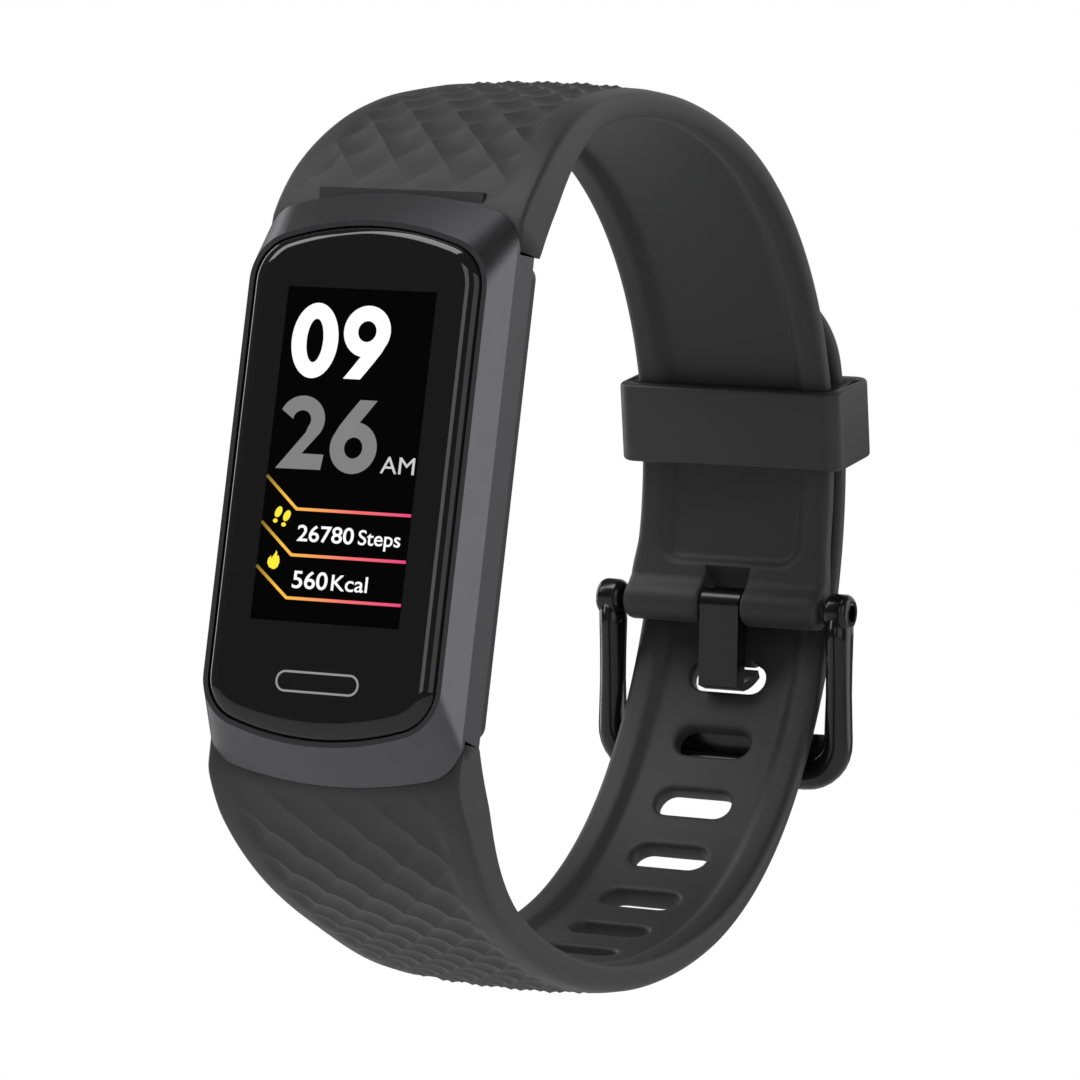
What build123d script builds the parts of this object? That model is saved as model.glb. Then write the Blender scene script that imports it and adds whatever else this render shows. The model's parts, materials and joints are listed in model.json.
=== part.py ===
from build123d import *

import os
from math import cos, degrees, radians, sin, sqrt

# Fitness tracker band, buckled into its loop.
# Frame: X runs along the wrist, -Y is the way the display faces, +Z is the twelve-o'clock side.
# The origin is the middle of the wrist opening, level with the middle of the case. Millimetres.

os.makedirs("parts", exist_ok=True)

# ---------------------------------------------------------------- driving dimensions
# case
case_half_width = 9.2
case_half_length = 19.35  # to the strap seam on the centre line
case_end_radius = 30.0  # plan radius of the case ends at the seam
case_corner = 2.6  # plan radius of the case corners at the seam
case_edge_gap = 0.12  # step in from the front frame to the back cover
case_back_y = -27.1  # wrist side of the back cover plate
back_plate = 0.8
frame_side_depth = 2.45  # straight side wall, from the back cover up to the shoulder
frame_slope_depth = 2.65  # sloped facets, from the shoulder up to the rim
rim_inset = 0.54  # how far the rim stands in from the side
rim_end_inset = 2.27  # how far the rim stands in from the seam, on the centre line
rim_width = 0.41
rim_end_radius = 20.0
rim_corner = 3.3
side_wall = 1.3
end_wall = 0.7
cavity_corner = 2.5
cavity_roof = 1.1  # frame metal between the rim face and the cavity, beside the glass

# cover glass and display
glass_thickness = 0.9
glass_proud = 0.5
glass_gap = 0.06
glass_edge_roll = 0.36
adhesive = 0.1
window_edge = 0.7  # ledge that the glass is glued to, in from the side wall
window_corner = 0.8
display_up = 0.95  # centre of the display module above the case centre
display_end_gap = 1.4  # from the display module's ends to the cavity's
panel_thickness = 1.1
tray_thickness = 0.7
display_gap = 1.3
key_drop = 1.5  # touch key's centre, below the display module's lower end
key_half_width = 2.6
key_half_height = 0.7
key_thickness = 0.25

# inside the case
chassis_thickness = 0.4
board_thickness = 0.6
board_gap = 0.1
chip_height = 0.75
battery_thickness = 2.3
battery_half_width = 5.4
battery_end_gap = 3.0  # from the battery's upper end to the cavity's
motor_radius = 2.8
motor_height = 2.1
motor_wall = 0.2
motor_end_gap = 5.1  # from the motor's axis to the cavity's lower end
motor_battery_gap = 0.7
shaft_radius = 0.2
skirt_wall = 0.6
skirt_depth = 1.4
gasket_width = 0.38
gasket_depth = 0.5
bump_half_width = 6.9
bump_end_gap = 1.0  # from the bump's ends to the cavity's
bump_height = 2.5
bump_wall = 0.8
bump_corner = 3.0
bump_draft = 16.0
sensor_radius = 4.0
sensor_proud = 0.05
sensor_board_thickness = 0.35
led_height = 0.4
pad_radius = 0.8
pad_spacing = 9.0
pad_drop = 0.6  # charging pads, below the motor's axis
magnet_radius = 0.85
screw_radius = 0.45
screw_head_radius = 0.8
screw_length = 2.4
screw_inset = 0.4  # screw axes, in from the cavity's sides
screw_outset = 0.35  # and beyond its ends

# straps
strap_half_width = 7.6
strap_thickness = 2.0  # at the back of the wrist, under the keeper
crown_thickness = 2.5  # over the top and bottom of the wrist
root_thickness = 3.7  # where it meets the case
back_radius = 26.05  # wrist side of the upper strap, at the back of the wrist
back_centre_y = 0.95
back_centre_z = 3.26
tail_gap = 0.25  # between the upper strap and the tail that lies over it
recess_half_width = 5.5
recess_depth = 0.6
seam_gap = 0.08
back_start = -8.5  # where the upper strap begins, about the back centre, degrees
tip_angle = 41.5  # where the tail's tip lies
tail_end_angle = 13.0  # where the tail stops following the upper strap
slot_length = 5.9
slot_width = 2.2
slot_pitch = 5.1
slots_before = 3
slots_after = 7
buckled_slot_from_tip = 29.34  # along the strap, from the tail's tip to the slot in use

# quick-release spring bars in the strap roots
tab_half_width = 6.0
tab_thickness = 2.55
tab_hood = 2.05  # frame metal from the shoulder plane of the back cover up to the tab's roof
tab_reach = 4.93  # from the seam on the centre line to the tab's end
tab_gap = 0.12
bar_inset = 3.6  # bar axis, in from the seam
bar_tube_radius = 0.75
bar_bore_radius = 0.55
bar_tip_radius = 0.4
bar_tip_reach = 1.55
release_travel = 1.7
lever_radius = 0.35

# buckle
pivot_sink = 1.6  # pivot, in from the strap's outer side
pivot_z = -0.5
barrel_radius = 1.45
barrel_half_length = 7.85
pivot_tube_radius = 0.7
pivot_bore_radius = 0.55
pivot_tip_radius = 0.45
pivot_travel = 1.8
buckle_half_width = 10.15
arm_width = 2.0
frame_thickness = 2.3
frame_reach = 12.05  # from the pivot to the middle of the end bar
frame_tilt = 13.9  # outward lean of the frame, degrees
end_bar = 2.4
frame_corner = 3.4
buckle_edge_radius = 0.75
tongue_half_width = 1.55
tongue_gap = 0.25
tongue_thickness = 1.3
tongue_curl_radius = 1.2
prong_thickness = 0.65
prong_lean = -77.0  # the prong's root about the pivot, degrees
prong_end = -50.0
prong_radius = 5.98  # the prong is an arc about the pivot, so that it slips out of its slot
running_gap = 0.05
fixed_gap = 0.03

# keeper
keeper_height = 5.8
keeper_wall = 1.2
keeper_side_wall = 1.1
keeper_gap = 0.1
keeper_angle = 20.9  # above the level of the back centre, degrees
keeper_corner = 1.2

# ---------------------------------------------------------------- derived places
frame_rear_y = case_back_y - back_plate
shoulder_y = frame_rear_y - frame_side_depth
rim_y = shoulder_y - frame_slope_depth
glass_front_y = rim_y - glass_proud
glass_back_y = glass_front_y + glass_thickness
glass_seat_y = glass_back_y + adhesive
cavity_front_y = rim_y + cavity_roof
tab_roof_y = frame_rear_y - tab_hood
glass_half_width = case_half_width - rim_inset - rim_width
glass_half_length = case_half_length - rim_end_inset - rim_width
cavity_half_width = case_half_width - side_wall
pocket_end = case_half_length - tab_reach - tab_gap
cavity_half_length = pocket_end - end_wall
panel_half_width = cavity_half_width - display_gap
display_half_length = cavity_half_length - display_end_gap
key_below = display_half_length - display_up + key_drop
motor_below = cavity_half_length - motor_end_gap
battery_high = cavity_half_length - battery_end_gap
battery_low = motor_battery_gap + motor_radius - motor_below
bump_half_length = cavity_half_length - bump_end_gap
chassis_back_y = glass_back_y + panel_thickness + tray_thickness + chassis_thickness
board_front_y = chassis_back_y + board_gap
board_back_y = board_front_y + board_thickness
chips_back_y = board_back_y + chip_height
battery_front_y = chips_back_y + 0.1
battery_back_y = battery_front_y + battery_thickness
board_half_width = cavity_half_width - skirt_wall
board_half_length = cavity_half_length - skirt_wall
bar_z = case_half_length - bar_inset
bar_y = tab_roof_y + tab_gap + tab_thickness / 2
back_centre = (back_centre_y, back_centre_z)
pivot_y = back_centre_y + back_radius + strap_thickness - pivot_sink
pivot = (pivot_y, pivot_z)
screw_x = cavity_half_width - screw_inset
screw_z = cavity_half_length + screw_outset
screw_places = [(sx * screw_x, sz * screw_z) for sx in (-1, 1) for sz in (-1, 1)]
pad_places = [(sx * pad_spacing / 2, -motor_below - pad_drop) for sx in (-1, 1)]
X_AXIS = (1, 0, 0)


# ---------------------------------------------------------------- shared shapes
def save(name, *solids):
    """Writes one node from its separate solids."""
    shape = solids[0] if len(solids) == 1 else Compound(children=list(solids))
    export_step(shape, f"parts/{name}.step")


def single(shape):
    """The one solid of a boolean's result."""
    return shape.solids()[0]


def arched_outline(half_width, half_length, end_radius, corner):
    """Plan outline with straight sides and bowed ends, as X and Z."""
    side_end = half_length - end_radius + sqrt(end_radius**2 - half_width**2)
    edges = [
        ThreePointArc((-half_width, -side_end), (0, -half_length), (half_width, -side_end)),
        Line((half_width, -side_end), (half_width, side_end)),
        ThreePointArc((half_width, side_end), (0, half_length), (-half_width, side_end)),
        Line((-half_width, side_end), (-half_width, -side_end)),
    ]
    face = Face(Wire(edges))
    return face.fillet_2d(corner, face.vertices()) if corner else face


def round_rect(half_width, half_length, corner):
    """Plan rectangle with round corners, as X and Z."""
    return RectangleRounded(2 * half_width, 2 * half_length, corner)


def facing(y, x=0.0, z=0.0):
    """Plane at a depth, looking out of the display, with X across and Z up."""
    return Plane(origin=(x, y, z), x_dir=X_AXIS, z_dir=(0, -1, 0))


def wristward(y):
    """Plane at a depth, looking towards the wrist."""
    return Plane(origin=(0, y, 0), x_dir=(-1, 0, 0), z_dir=(0, 1, 0))


def slab(outline, back_y, front_y, x=0.0, z=0.0):
    """Solid of a plan outline between two depths."""
    return extrude(facing(back_y, x, z) * outline, back_y - front_y)


def disc(radius, back_y, front_y, x=0.0, z=0.0):
    """Round solid between two depths, its axis along Y."""
    return slab(Circle(radius), back_y, front_y, x, z)


def block(x0, x1, y0, y1, z0, z1):
    """Box between two corners."""
    centre = Pos((x0 + x1) / 2, (y0 + y1) / 2, (z0 + z1) / 2)
    return centre * Box(x1 - x0, y1 - y0, z1 - z0)


def rod(radius, x0, x1, y, z):
    """Round solid between two X places, its axis along X."""
    return extrude(Plane(origin=(x0, y, z), x_dir=(0, 1, 0), z_dir=X_AXIS) * Circle(radius), x1 - x0)


def across(face, half_width):
    """Solid of a YZ outline, as wide on both sides of the middle."""
    return extrude(Plane.YZ * face, half_width, both=True)


def ring(outer, inner, back_y, front_y):
    """Solid between two plan outlines."""
    return slab(outer, back_y, front_y) - slab(inner, back_y + 1, front_y - 1)


# ---------------------------------------------------------------- strap lines
def arc_step(heading, turn):
    """Displacement along a unit arc, tangent to its heading, that turns by turn degrees."""
    side = 1 if turn > 0 else -1
    first, last = radians(heading), radians(heading + turn)
    return side * (sin(last) - sin(first)), side * (cos(first) - cos(last))


class Bend:
    """One tangent arc of a strap's wrist side, in Y and Z."""

    def __init__(self, start, heading, radius, turn):
        side = 1 if turn > 0 else -1
        self.radius = radius
        self.turn = turn
        self.first = heading - 90 * side
        self.heading = heading + turn
        self.centre = (
            start[0] - side * radius * sin(radians(heading)),
            start[1] + side * radius * cos(radians(heading)),
        )
        self.length = radius * abs(radians(turn))

    def angle(self, share):
        return self.first + self.turn * share

    def at(self, share, outward=0.0):
        reach = self.radius + outward
        around = radians(self.angle(share))
        return self.centre[0] + reach * cos(around), self.centre[1] + reach * sin(around)


def bends_between(start, heading, turns, radii, end):
    """Tangent arcs from start to end: the two radii left open are solved so that it closes."""
    steps = []
    for turn in turns:
        steps.append(arc_step(heading, turn))
        heading += turn
    left = [end[i] - start[i] - sum(r * s[i] for r, s in zip(radii, steps) if r) for i in (0, 1)]
    (a, b), (c, d) = [s for r, s in zip(radii, steps) if r is None]
    span = a * d - b * c
    solved = iter(((left[0] * d - left[1] * c) / span, (left[1] * a - left[0] * b) / span))
    radii = [next(solved) if r is None else r for r in radii]
    heading -= sum(turns)
    bends = []
    for radius, turn in zip(radii, turns):
        bends.append(Bend(start, heading, radius, turn))
        start = bends[-1].at(1)
        heading = bends[-1].heading
    return bends


def band_face(bends, depths, under=0.0, close=()):
    """YZ outline between the wrist side and a side that lies out by depths, one at each joint."""
    inner = [ThreePointArc(b.at(0, under), b.at(0.5, under), b.at(1, under)) for b in bends]
    outer = [
        ThreePointArc(b.at(1, d1), b.at(0.5, (d0 + d1) / 2), b.at(0, d0))
        for b, d0, d1 in zip(bends, depths, depths[1:])
    ]
    outer.reverse()
    corners = [bends[-1].at(1, under), *close, bends[-1].at(1, depths[-1])]
    joints = [Line(a, b) for a, b in zip(corners, corners[1:])]
    shut = Line(bends[0].at(0, depths[0]), bends[0].at(0, under))
    return Face(Wire([*inner, *joints, *outer, shut]))


def place_along(bends, distance):
    """The bend and the share of it that lies at a distance from the path's start."""
    for bend in bends:
        if distance <= bend.length:
            return bend, distance / bend.length
        distance -= bend.length
    return bends[-1], 1.0


upper_bends = bends_between(
    start=(
        back_centre_y + back_radius * cos(radians(back_start)),
        back_centre_z + back_radius * sin(radians(back_start)),
    ),
    heading=90 + back_start,
    turns=(89.9, 30.3, 49.1),
    radii=(back_radius, None, None),
    end=(case_back_y + 0.26, case_half_length - 3.44),
)
tail_radius = back_radius + strap_thickness + tail_gap
lower_bends = bends_between(
    start=(
        back_centre_y + tail_radius * cos(radians(tip_angle)),
        back_centre_z + tail_radius * sin(radians(tip_angle)),
    ),
    heading=tip_angle - 90,
    turns=(tail_end_angle - tip_angle, -38.0, -39.1, -46.3, -39.7),
    radii=(tail_radius, 34.5, None, None, 20.5),
    end=(case_back_y - 0.08, -(case_half_length - 2.67)),
)


def strap_outline():
    """Plan of both straps, as X and Y: as wide as the case at the seam, then narrowing."""
    side = [
        Line((case_half_width, rim_y - 5), (case_half_width, case_back_y + 0.6)),
        Spline(
            (case_half_width, case_back_y + 0.6),
            ((case_half_width + 2 * strap_half_width) / 3, case_back_y + 8),
            (strap_half_width, case_back_y + 18),
            tangents=((0, 1), (0, 1)),
        ),
        Line((strap_half_width, case_back_y + 18), (strap_half_width, back_radius + 12)),
    ]
    other = [edge.mirror(Plane.YZ) for edge in side]
    ends = [
        Line((-case_half_width, rim_y - 5), (case_half_width, rim_y - 5)),
        Line((-strap_half_width, back_radius + 12), (strap_half_width, back_radius + 12)),
    ]
    return Face(Wire([*side, *other, *ends]))


def strap_body(bends, depths, up):
    """Strap from its line to the case seam, with the tab that the spring bar goes through."""
    close = ((case_back_y + 0.3, up * pocket_end), (tab_roof_y - 0.4, up * pocket_end))
    body = across(band_face(bends, depths, close=close), case_half_width + 1)
    body &= extrude(strap_outline(), 2 * back_radius, both=True)
    seam = arched_outline(
        case_half_width + seam_gap,
        case_half_length + seam_gap,
        case_end_radius + seam_gap,
        case_corner + seam_gap,
    )
    body -= slab(seam, case_back_y + 1.2, rim_y - 2)
    tab = block(
        -tab_half_width,
        tab_half_width,
        tab_roof_y + tab_gap,
        tab_roof_y + tab_gap + tab_thickness,
        *sorted((up * (pocket_end + tab_gap), up * (case_half_length + 0.4))),
    )
    body += tab
    bore = rod(bar_tube_radius + fixed_gap, -tab_half_width - 1, tab_half_width + 1, bar_y, up * bar_z)
    lever_slot = block(
        tab_half_width - 3.4,
        tab_half_width - 0.7,
        bar_y,
        case_back_y + 3,
        up * bar_z - lever_radius - running_gap,
        up * bar_z + lever_radius + running_gap,
    )
    return body - bore - lever_slot


def recess(bends, first, last):
    """Shallow trough along the wrist side, over part of the bends."""
    chosen = bends[first:last]
    cut = band_face(chosen, [recess_depth] * (len(chosen) + 1), under=-0.5)
    return across(cut, recess_half_width)


# ---------------------------------------------------------------- case
def make_case():
    rim = arched_outline(
        case_half_width - rim_inset, case_half_length - rim_end_inset, rim_end_radius, rim_corner
    )
    shoulder = arched_outline(case_half_width, case_half_length, case_end_radius, case_corner)
    body = slab(shoulder, frame_rear_y, shoulder_y)
    body += loft([facing(shoulder_y) * shoulder, facing(rim_y) * rim], ruled=True)
    seat = arched_outline(
        glass_half_width + glass_gap, glass_half_length + glass_gap, rim_end_radius, rim_corner - 0.3
    )
    body -= slab(seat, glass_seat_y, rim_y - 1)
    window = round_rect(cavity_half_width - window_edge, cavity_half_length, window_corner)
    body -= slab(window, cavity_front_y + 0.2, rim_y - 1)
    cavity = round_rect(cavity_half_width, cavity_half_length, cavity_corner)
    body -= slab(cavity, case_back_y + 1, cavity_front_y)
    for up in (1, -1):
        body -= block(
            -tab_half_width - tab_gap,
            tab_half_width + tab_gap,
            tab_roof_y,
            case_back_y + 1,
            *sorted((up * pocket_end, up * (case_half_length + 2))),
        )
        reach = tab_half_width + tab_gap + bar_tip_reach
        body -= rod(bar_tip_radius + running_gap, -reach, reach, bar_y, up * bar_z)
    for x, z in screw_places:
        body -= disc(screw_radius, case_back_y + 1, case_back_y - screw_length - 0.1, x, z)
    save("front_frame", single(body))

    glass = arched_outline(glass_half_width, glass_half_length, rim_end_radius, rim_corner - 0.35)
    lens = slab(glass, glass_back_y, glass_front_y)
    lens = fillet(lens.faces().sort_by(Axis.Y)[0].edges(), glass_edge_roll)
    save("cover_glass", single(lens))

    glue = arched_outline(
        glass_half_width - 0.1, glass_half_length - 0.15, rim_end_radius, rim_corner - 0.4
    )
    opening = round_rect(cavity_half_width - window_edge, cavity_half_length, window_corner)
    save("lens_adhesive", single(ring(glue, opening, glass_seat_y, glass_back_y)))


def make_display():
    panel_back = glass_back_y + panel_thickness
    tray_back = panel_back + tray_thickness
    low = display_up - display_half_length
    panel = round_rect(panel_half_width, display_half_length, 0.3)
    save("display_panel", slab(panel, panel_back, glass_back_y, z=display_up))
    tray = slab(round_rect(panel_half_width, display_half_length, 0.3), tray_back, panel_back, z=display_up)
    save("backlight_tray", single(tray))
    key = round_rect(key_half_width, key_half_height, key_half_height - 0.01)
    save("touch_key_pad", slab(key, glass_back_y + key_thickness, glass_back_y, z=-key_below))

    flex = 0.12
    bend_z = -cavity_half_length + 0.12
    half = panel_half_width / 2
    front = glass_back_y + 0.6
    board_back = chassis_back_y + board_gap + board_thickness
    ribbon = block(-half, half, front, front + flex, bend_z, low)
    ribbon += block(-half, half, front, board_back + flex, bend_z, bend_z + flex)
    ribbon += block(-half, half, board_back, board_back + flex, bend_z, bend_z + 1.3)
    save("display_flex", single(ribbon))


def make_electronics():
    chassis = round_rect(board_half_width, board_half_length + 0.2, cavity_corner - 0.4)
    hole = round_rect(board_half_width - 2, board_half_length / 3, 0.8)
    plate = slab(chassis, chassis_back_y, chassis_back_y - chassis_thickness)
    for z in (-board_half_length / 2, board_half_length / 2):
        plate -= slab(hole, chassis_back_y + 1, chassis_back_y - 1 - chassis_thickness, z=z)
    save("inner_chassis", single(plate))

    board = round_rect(board_half_width, board_half_length, cavity_corner - 0.4)
    save("main_board", slab(board, board_back_y, board_front_y))
    chips = (
        ("processor_chip", -3.4, board_half_length - 5.0, 2.5, 2.5, chip_height),
        ("power_chip", 2.8, board_half_length - 4.4, 1.6, 1.6, chip_height - 0.1),
        ("motion_sensor_chip", 3.4, 3.6, 1.0, 1.0, chip_height),
        ("flash_chip", -3.6, 1.2, 2.0, 1.5, chip_height - 0.15),
        ("crystal", 0.4, 5.2, 0.6, 0.8, chip_height - 0.25),
    )
    for name, x, z, half_x, half_z, height in chips:
        save(name, slab(round_rect(half_x, half_z, 0.15), board_back_y + height, board_back_y, x, z))

    antenna = block(
        -board_half_width + 2.4,
        board_half_width - 2.4,
        board_back_y,
        board_back_y + 0.9,
        board_half_length - 1.0,
        board_half_length - 0.7,
    )
    save("antenna", antenna)

    cell = block(
        -battery_half_width, battery_half_width, battery_front_y, battery_back_y, battery_low, battery_high
    )
    save("battery_cell", single(fillet(cell.edges().filter_by(Axis.Z), 0.6)))
    tabs = [
        block(x - 0.5, x + 0.5, board_back_y, battery_front_y + 0.9, battery_low - 0.15, battery_low)
        for x in (-2.0, 2.0)
    ]
    save("battery_tabs", *tabs)


def make_motor():
    front = battery_front_y
    back = front + motor_height
    can = disc(motor_radius, back, front, z=-motor_below)
    can -= disc(motor_radius - motor_wall, back - motor_wall, front + motor_wall, z=-motor_below)
    save("vibration_motor_case", single(can))
    shaft = disc(shaft_radius, back - motor_wall, front + motor_wall, z=-motor_below)
    save("motor_shaft", shaft)
    weight = disc(motor_radius - motor_wall - 0.2, back - 0.6, front + 0.6, z=-motor_below)
    weight -= block(-5, 5, front, back, -motor_below + 0.7, 0)
    weight -= disc(shaft_radius + running_gap, back, front, z=-motor_below)
    save("motor_rotor", single(weight))


def make_back():
    plate = round_rect(case_half_width - case_edge_gap, pocket_end + 1.2, 1.0)
    inside_seam = arched_outline(
        case_half_width - case_edge_gap, case_half_length - case_edge_gap, case_end_radius, case_corner
    )
    cover = slab(plate, case_back_y, frame_rear_y) & slab(inside_seam, case_back_y, frame_rear_y)
    bump_outline = round_rect(bump_half_width, bump_half_length, bump_corner)
    cover += extrude(wristward(case_back_y) * bump_outline, bump_height, taper=bump_draft)
    crest = [e for e in cover.edges() if e.center().Y > case_back_y + bump_height - 0.01]
    cover = fillet(crest, 0.6)
    skirt_half_width = cavity_half_width - gasket_width - 0.04
    skirt_half_length = cavity_half_length - gasket_width - 0.04
    skirt = round_rect(skirt_half_width, skirt_half_length, cavity_corner - gasket_width)
    inside = round_rect(
        skirt_half_width - skirt_wall,
        skirt_half_length - skirt_wall,
        cavity_corner - gasket_width - skirt_wall,
    )
    cover += slab(skirt, frame_rear_y, frame_rear_y - skirt_depth)
    cover -= slab(inside, frame_rear_y, frame_rear_y - skirt_depth - 1)
    hollow = round_rect(bump_half_width - bump_wall, bump_half_length - bump_wall, bump_corner - bump_wall)
    hollow_back = case_back_y + bump_height - bump_wall
    hollow_front = frame_rear_y - 0.5
    cover -= extrude(wristward(hollow_front) * hollow, hollow_back - hollow_front, taper=bump_draft / 2)
    for up in (1, -1):
        cover -= block(
            -tab_half_width - tab_gap,
            tab_half_width + tab_gap,
            frame_rear_y - 1,
            case_back_y + 1,
            *sorted((up * (pocket_end - 0.05), up * (pocket_end + 4))),
        )
    cover -= disc(sensor_radius + fixed_gap, case_back_y + bump_height + 1, hollow_back - 0.5)
    for x, z in pad_places:
        cover -= disc(pad_radius + fixed_gap, case_back_y + bump_height + 1, hollow_back - 0.5, x, z)
    for x, z in screw_places:
        cover -= disc(screw_radius + running_gap, case_back_y + 1, frame_rear_y - 1, x, z)
        cover -= disc(screw_head_radius + running_gap, case_back_y + 1, case_back_y - 0.4, x, z)
    save("back_cover", single(cover))

    gasket_outer = round_rect(cavity_half_width - 0.02, cavity_half_length - 0.02, cavity_corner - 0.02)
    gasket_inner = round_rect(
        skirt_half_width + 0.02, skirt_half_length + 0.02, cavity_corner - gasket_width + 0.02
    )
    gasket_back_y = frame_rear_y - 0.3
    gasket = ring(gasket_outer, gasket_inner, gasket_back_y, gasket_back_y - gasket_depth)
    save("back_gasket", single(gasket))

    screws = []
    for x, z in screw_places:
        screw = disc(screw_radius, case_back_y - 0.4, case_back_y - screw_length, x, z)
        screw += disc(screw_head_radius, case_back_y - 0.02, case_back_y - 0.4, x, z)
        slot = 0.12
        screw -= block(x - 0.5, x + 0.5, case_back_y - 0.2, case_back_y + 1, z - slot, z + slot)
        screw -= block(x - slot, x + slot, case_back_y - 0.2, case_back_y + 1, z - 0.5, z + 0.5)
        screws.append(single(screw))
    save("back_cover_screws", *screws)

    window = disc(sensor_radius, case_back_y + bump_height + sensor_proud, hollow_back)
    save("sensor_window", window)
    board_face = hollow_back - led_height - 0.1
    save("sensor_board", disc(sensor_radius, board_face, board_face - sensor_board_thickness))
    lights = [
        slab(round_rect(0.8, 0.8, 0.1), board_face + led_height, board_face, x, 0) for x in (-2.5, 2.5)
    ]
    save("sensor_lights", *lights)
    save("photodiode", slab(round_rect(0.9, 0.9, 0.1), board_face + led_height - 0.05, board_face))
    baffle_outer, baffle_inner = round_rect(1.4, 1.4, 0.3), round_rect(1.05, 1.05, 0.2)
    baffle = ring(baffle_outer, baffle_inner, board_face + led_height, board_face)
    save("light_baffle", single(baffle))

    pads, pins = [], []
    for x, z in pad_places:
        pad = disc(pad_radius, case_back_y + bump_height, hollow_back, x, z)
        pad += disc(pad_radius + 0.25, hollow_back, hollow_back - 0.2, x, z)
        pads.append(single(pad))
        pins.append(disc(0.3, hollow_back - 0.2, board_back_y, x, z))
    save("charge_pads", *pads)
    save("charge_contact_pins", *pins)
    magnet_z = -motor_below + pad_radius + magnet_radius + 0.6
    magnets = [disc(magnet_radius, hollow_back, hollow_back - 1.2, x, magnet_z) for x, _ in pad_places]
    save("charge_magnets", *magnets)


# ---------------------------------------------------------------- straps and their spring bars
def make_release_bar(name, up):
    """Spring bar with one fixed tip and one that a lever pulls in."""
    z = up * bar_z
    end = tab_half_width - 0.05
    tip_end = tab_half_width + tab_gap + bar_tip_reach - 0.1
    tube = rod(bar_tube_radius, -end, end, bar_y, z)
    tube -= rod(bar_bore_radius, -end + 0.6, end - 0.5, bar_y, z)
    tube -= rod(bar_tip_radius + running_gap, end - 1, end + 1, bar_y, z)
    slot = lever_radius + running_gap
    tube -= block(end - 3.35, end - 0.65, bar_y, bar_y + 2, z - slot, z + slot)
    tube += rod(bar_tip_radius, -tip_end, -end, bar_y, z)
    save(f"{name}_tube", single(tube))
    plunger = rod(bar_tip_radius, end - 1.6, tip_end, bar_y, z)
    plunger += rod(bar_bore_radius - running_gap, end - 1.6, end - 0.55, bar_y, z)
    lever_x = end - 0.65 - lever_radius - running_gap
    tab_back_y = bar_y + tab_thickness / 2
    lever = disc(lever_radius, tab_back_y + 0.1, bar_y, lever_x, z)
    lever += disc(lever_radius + 0.25, tab_back_y + 0.45, tab_back_y + 0.05, lever_x, z)
    plunger += lever
    save(f"{name}_lever_tip", single(plunger))
    spring = rod(bar_bore_radius - 0.03, -end + 0.65, end - 1.65, bar_y, z)
    spring -= rod(bar_bore_radius - 0.2, -end, end, bar_y, z)
    save(f"{name}_spring", single(spring))


def make_upper_strap():
    depths = [strap_thickness, strap_thickness, crown_thickness, root_thickness]
    body = strap_body(upper_bends, depths, 1)
    body -= recess(upper_bends, 1, 2)
    barrel = rod(barrel_radius, -barrel_half_length, barrel_half_length, *pivot)
    gusset = Bend(upper_bends[0].at(0), 90 + back_start, back_radius, 11.0)
    body += barrel + across(band_face([gusset], [strap_thickness] * 2), barrel_half_length)
    notch = tongue_half_width + tongue_gap
    body -= block(
        -notch, notch, pivot_y - 4, pivot_y + 4, pivot_z - 3, pivot_z + tongue_curl_radius + 0.4
    )
    body -= rod(pivot_tube_radius + fixed_gap, -barrel_half_length - 1, barrel_half_length + 1, *pivot)
    save("upper_strap", single(body))


def make_lower_strap():
    depths = [strap_thickness - 0.1, strap_thickness - 0.1, strap_thickness]
    depths += [crown_thickness - 0.1, crown_thickness, root_thickness]
    body = strap_body(lower_bends, depths, -1)
    body -= recess(lower_bends, 0, 4)
    for step in range(-slots_before, slots_after):
        bend, share = place_along(lower_bends, buckled_slot_from_tip + step * slot_pitch)
        around = radians(bend.angle(share))
        y, z = bend.at(share)
        plane = Plane(origin=(0, y, z), x_dir=X_AXIS, z_dir=(0, cos(around), sin(around)))
        body -= extrude(plane * SlotOverall(slot_length, slot_width), 5, both=True)
    save("lower_strap", single(body))


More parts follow.
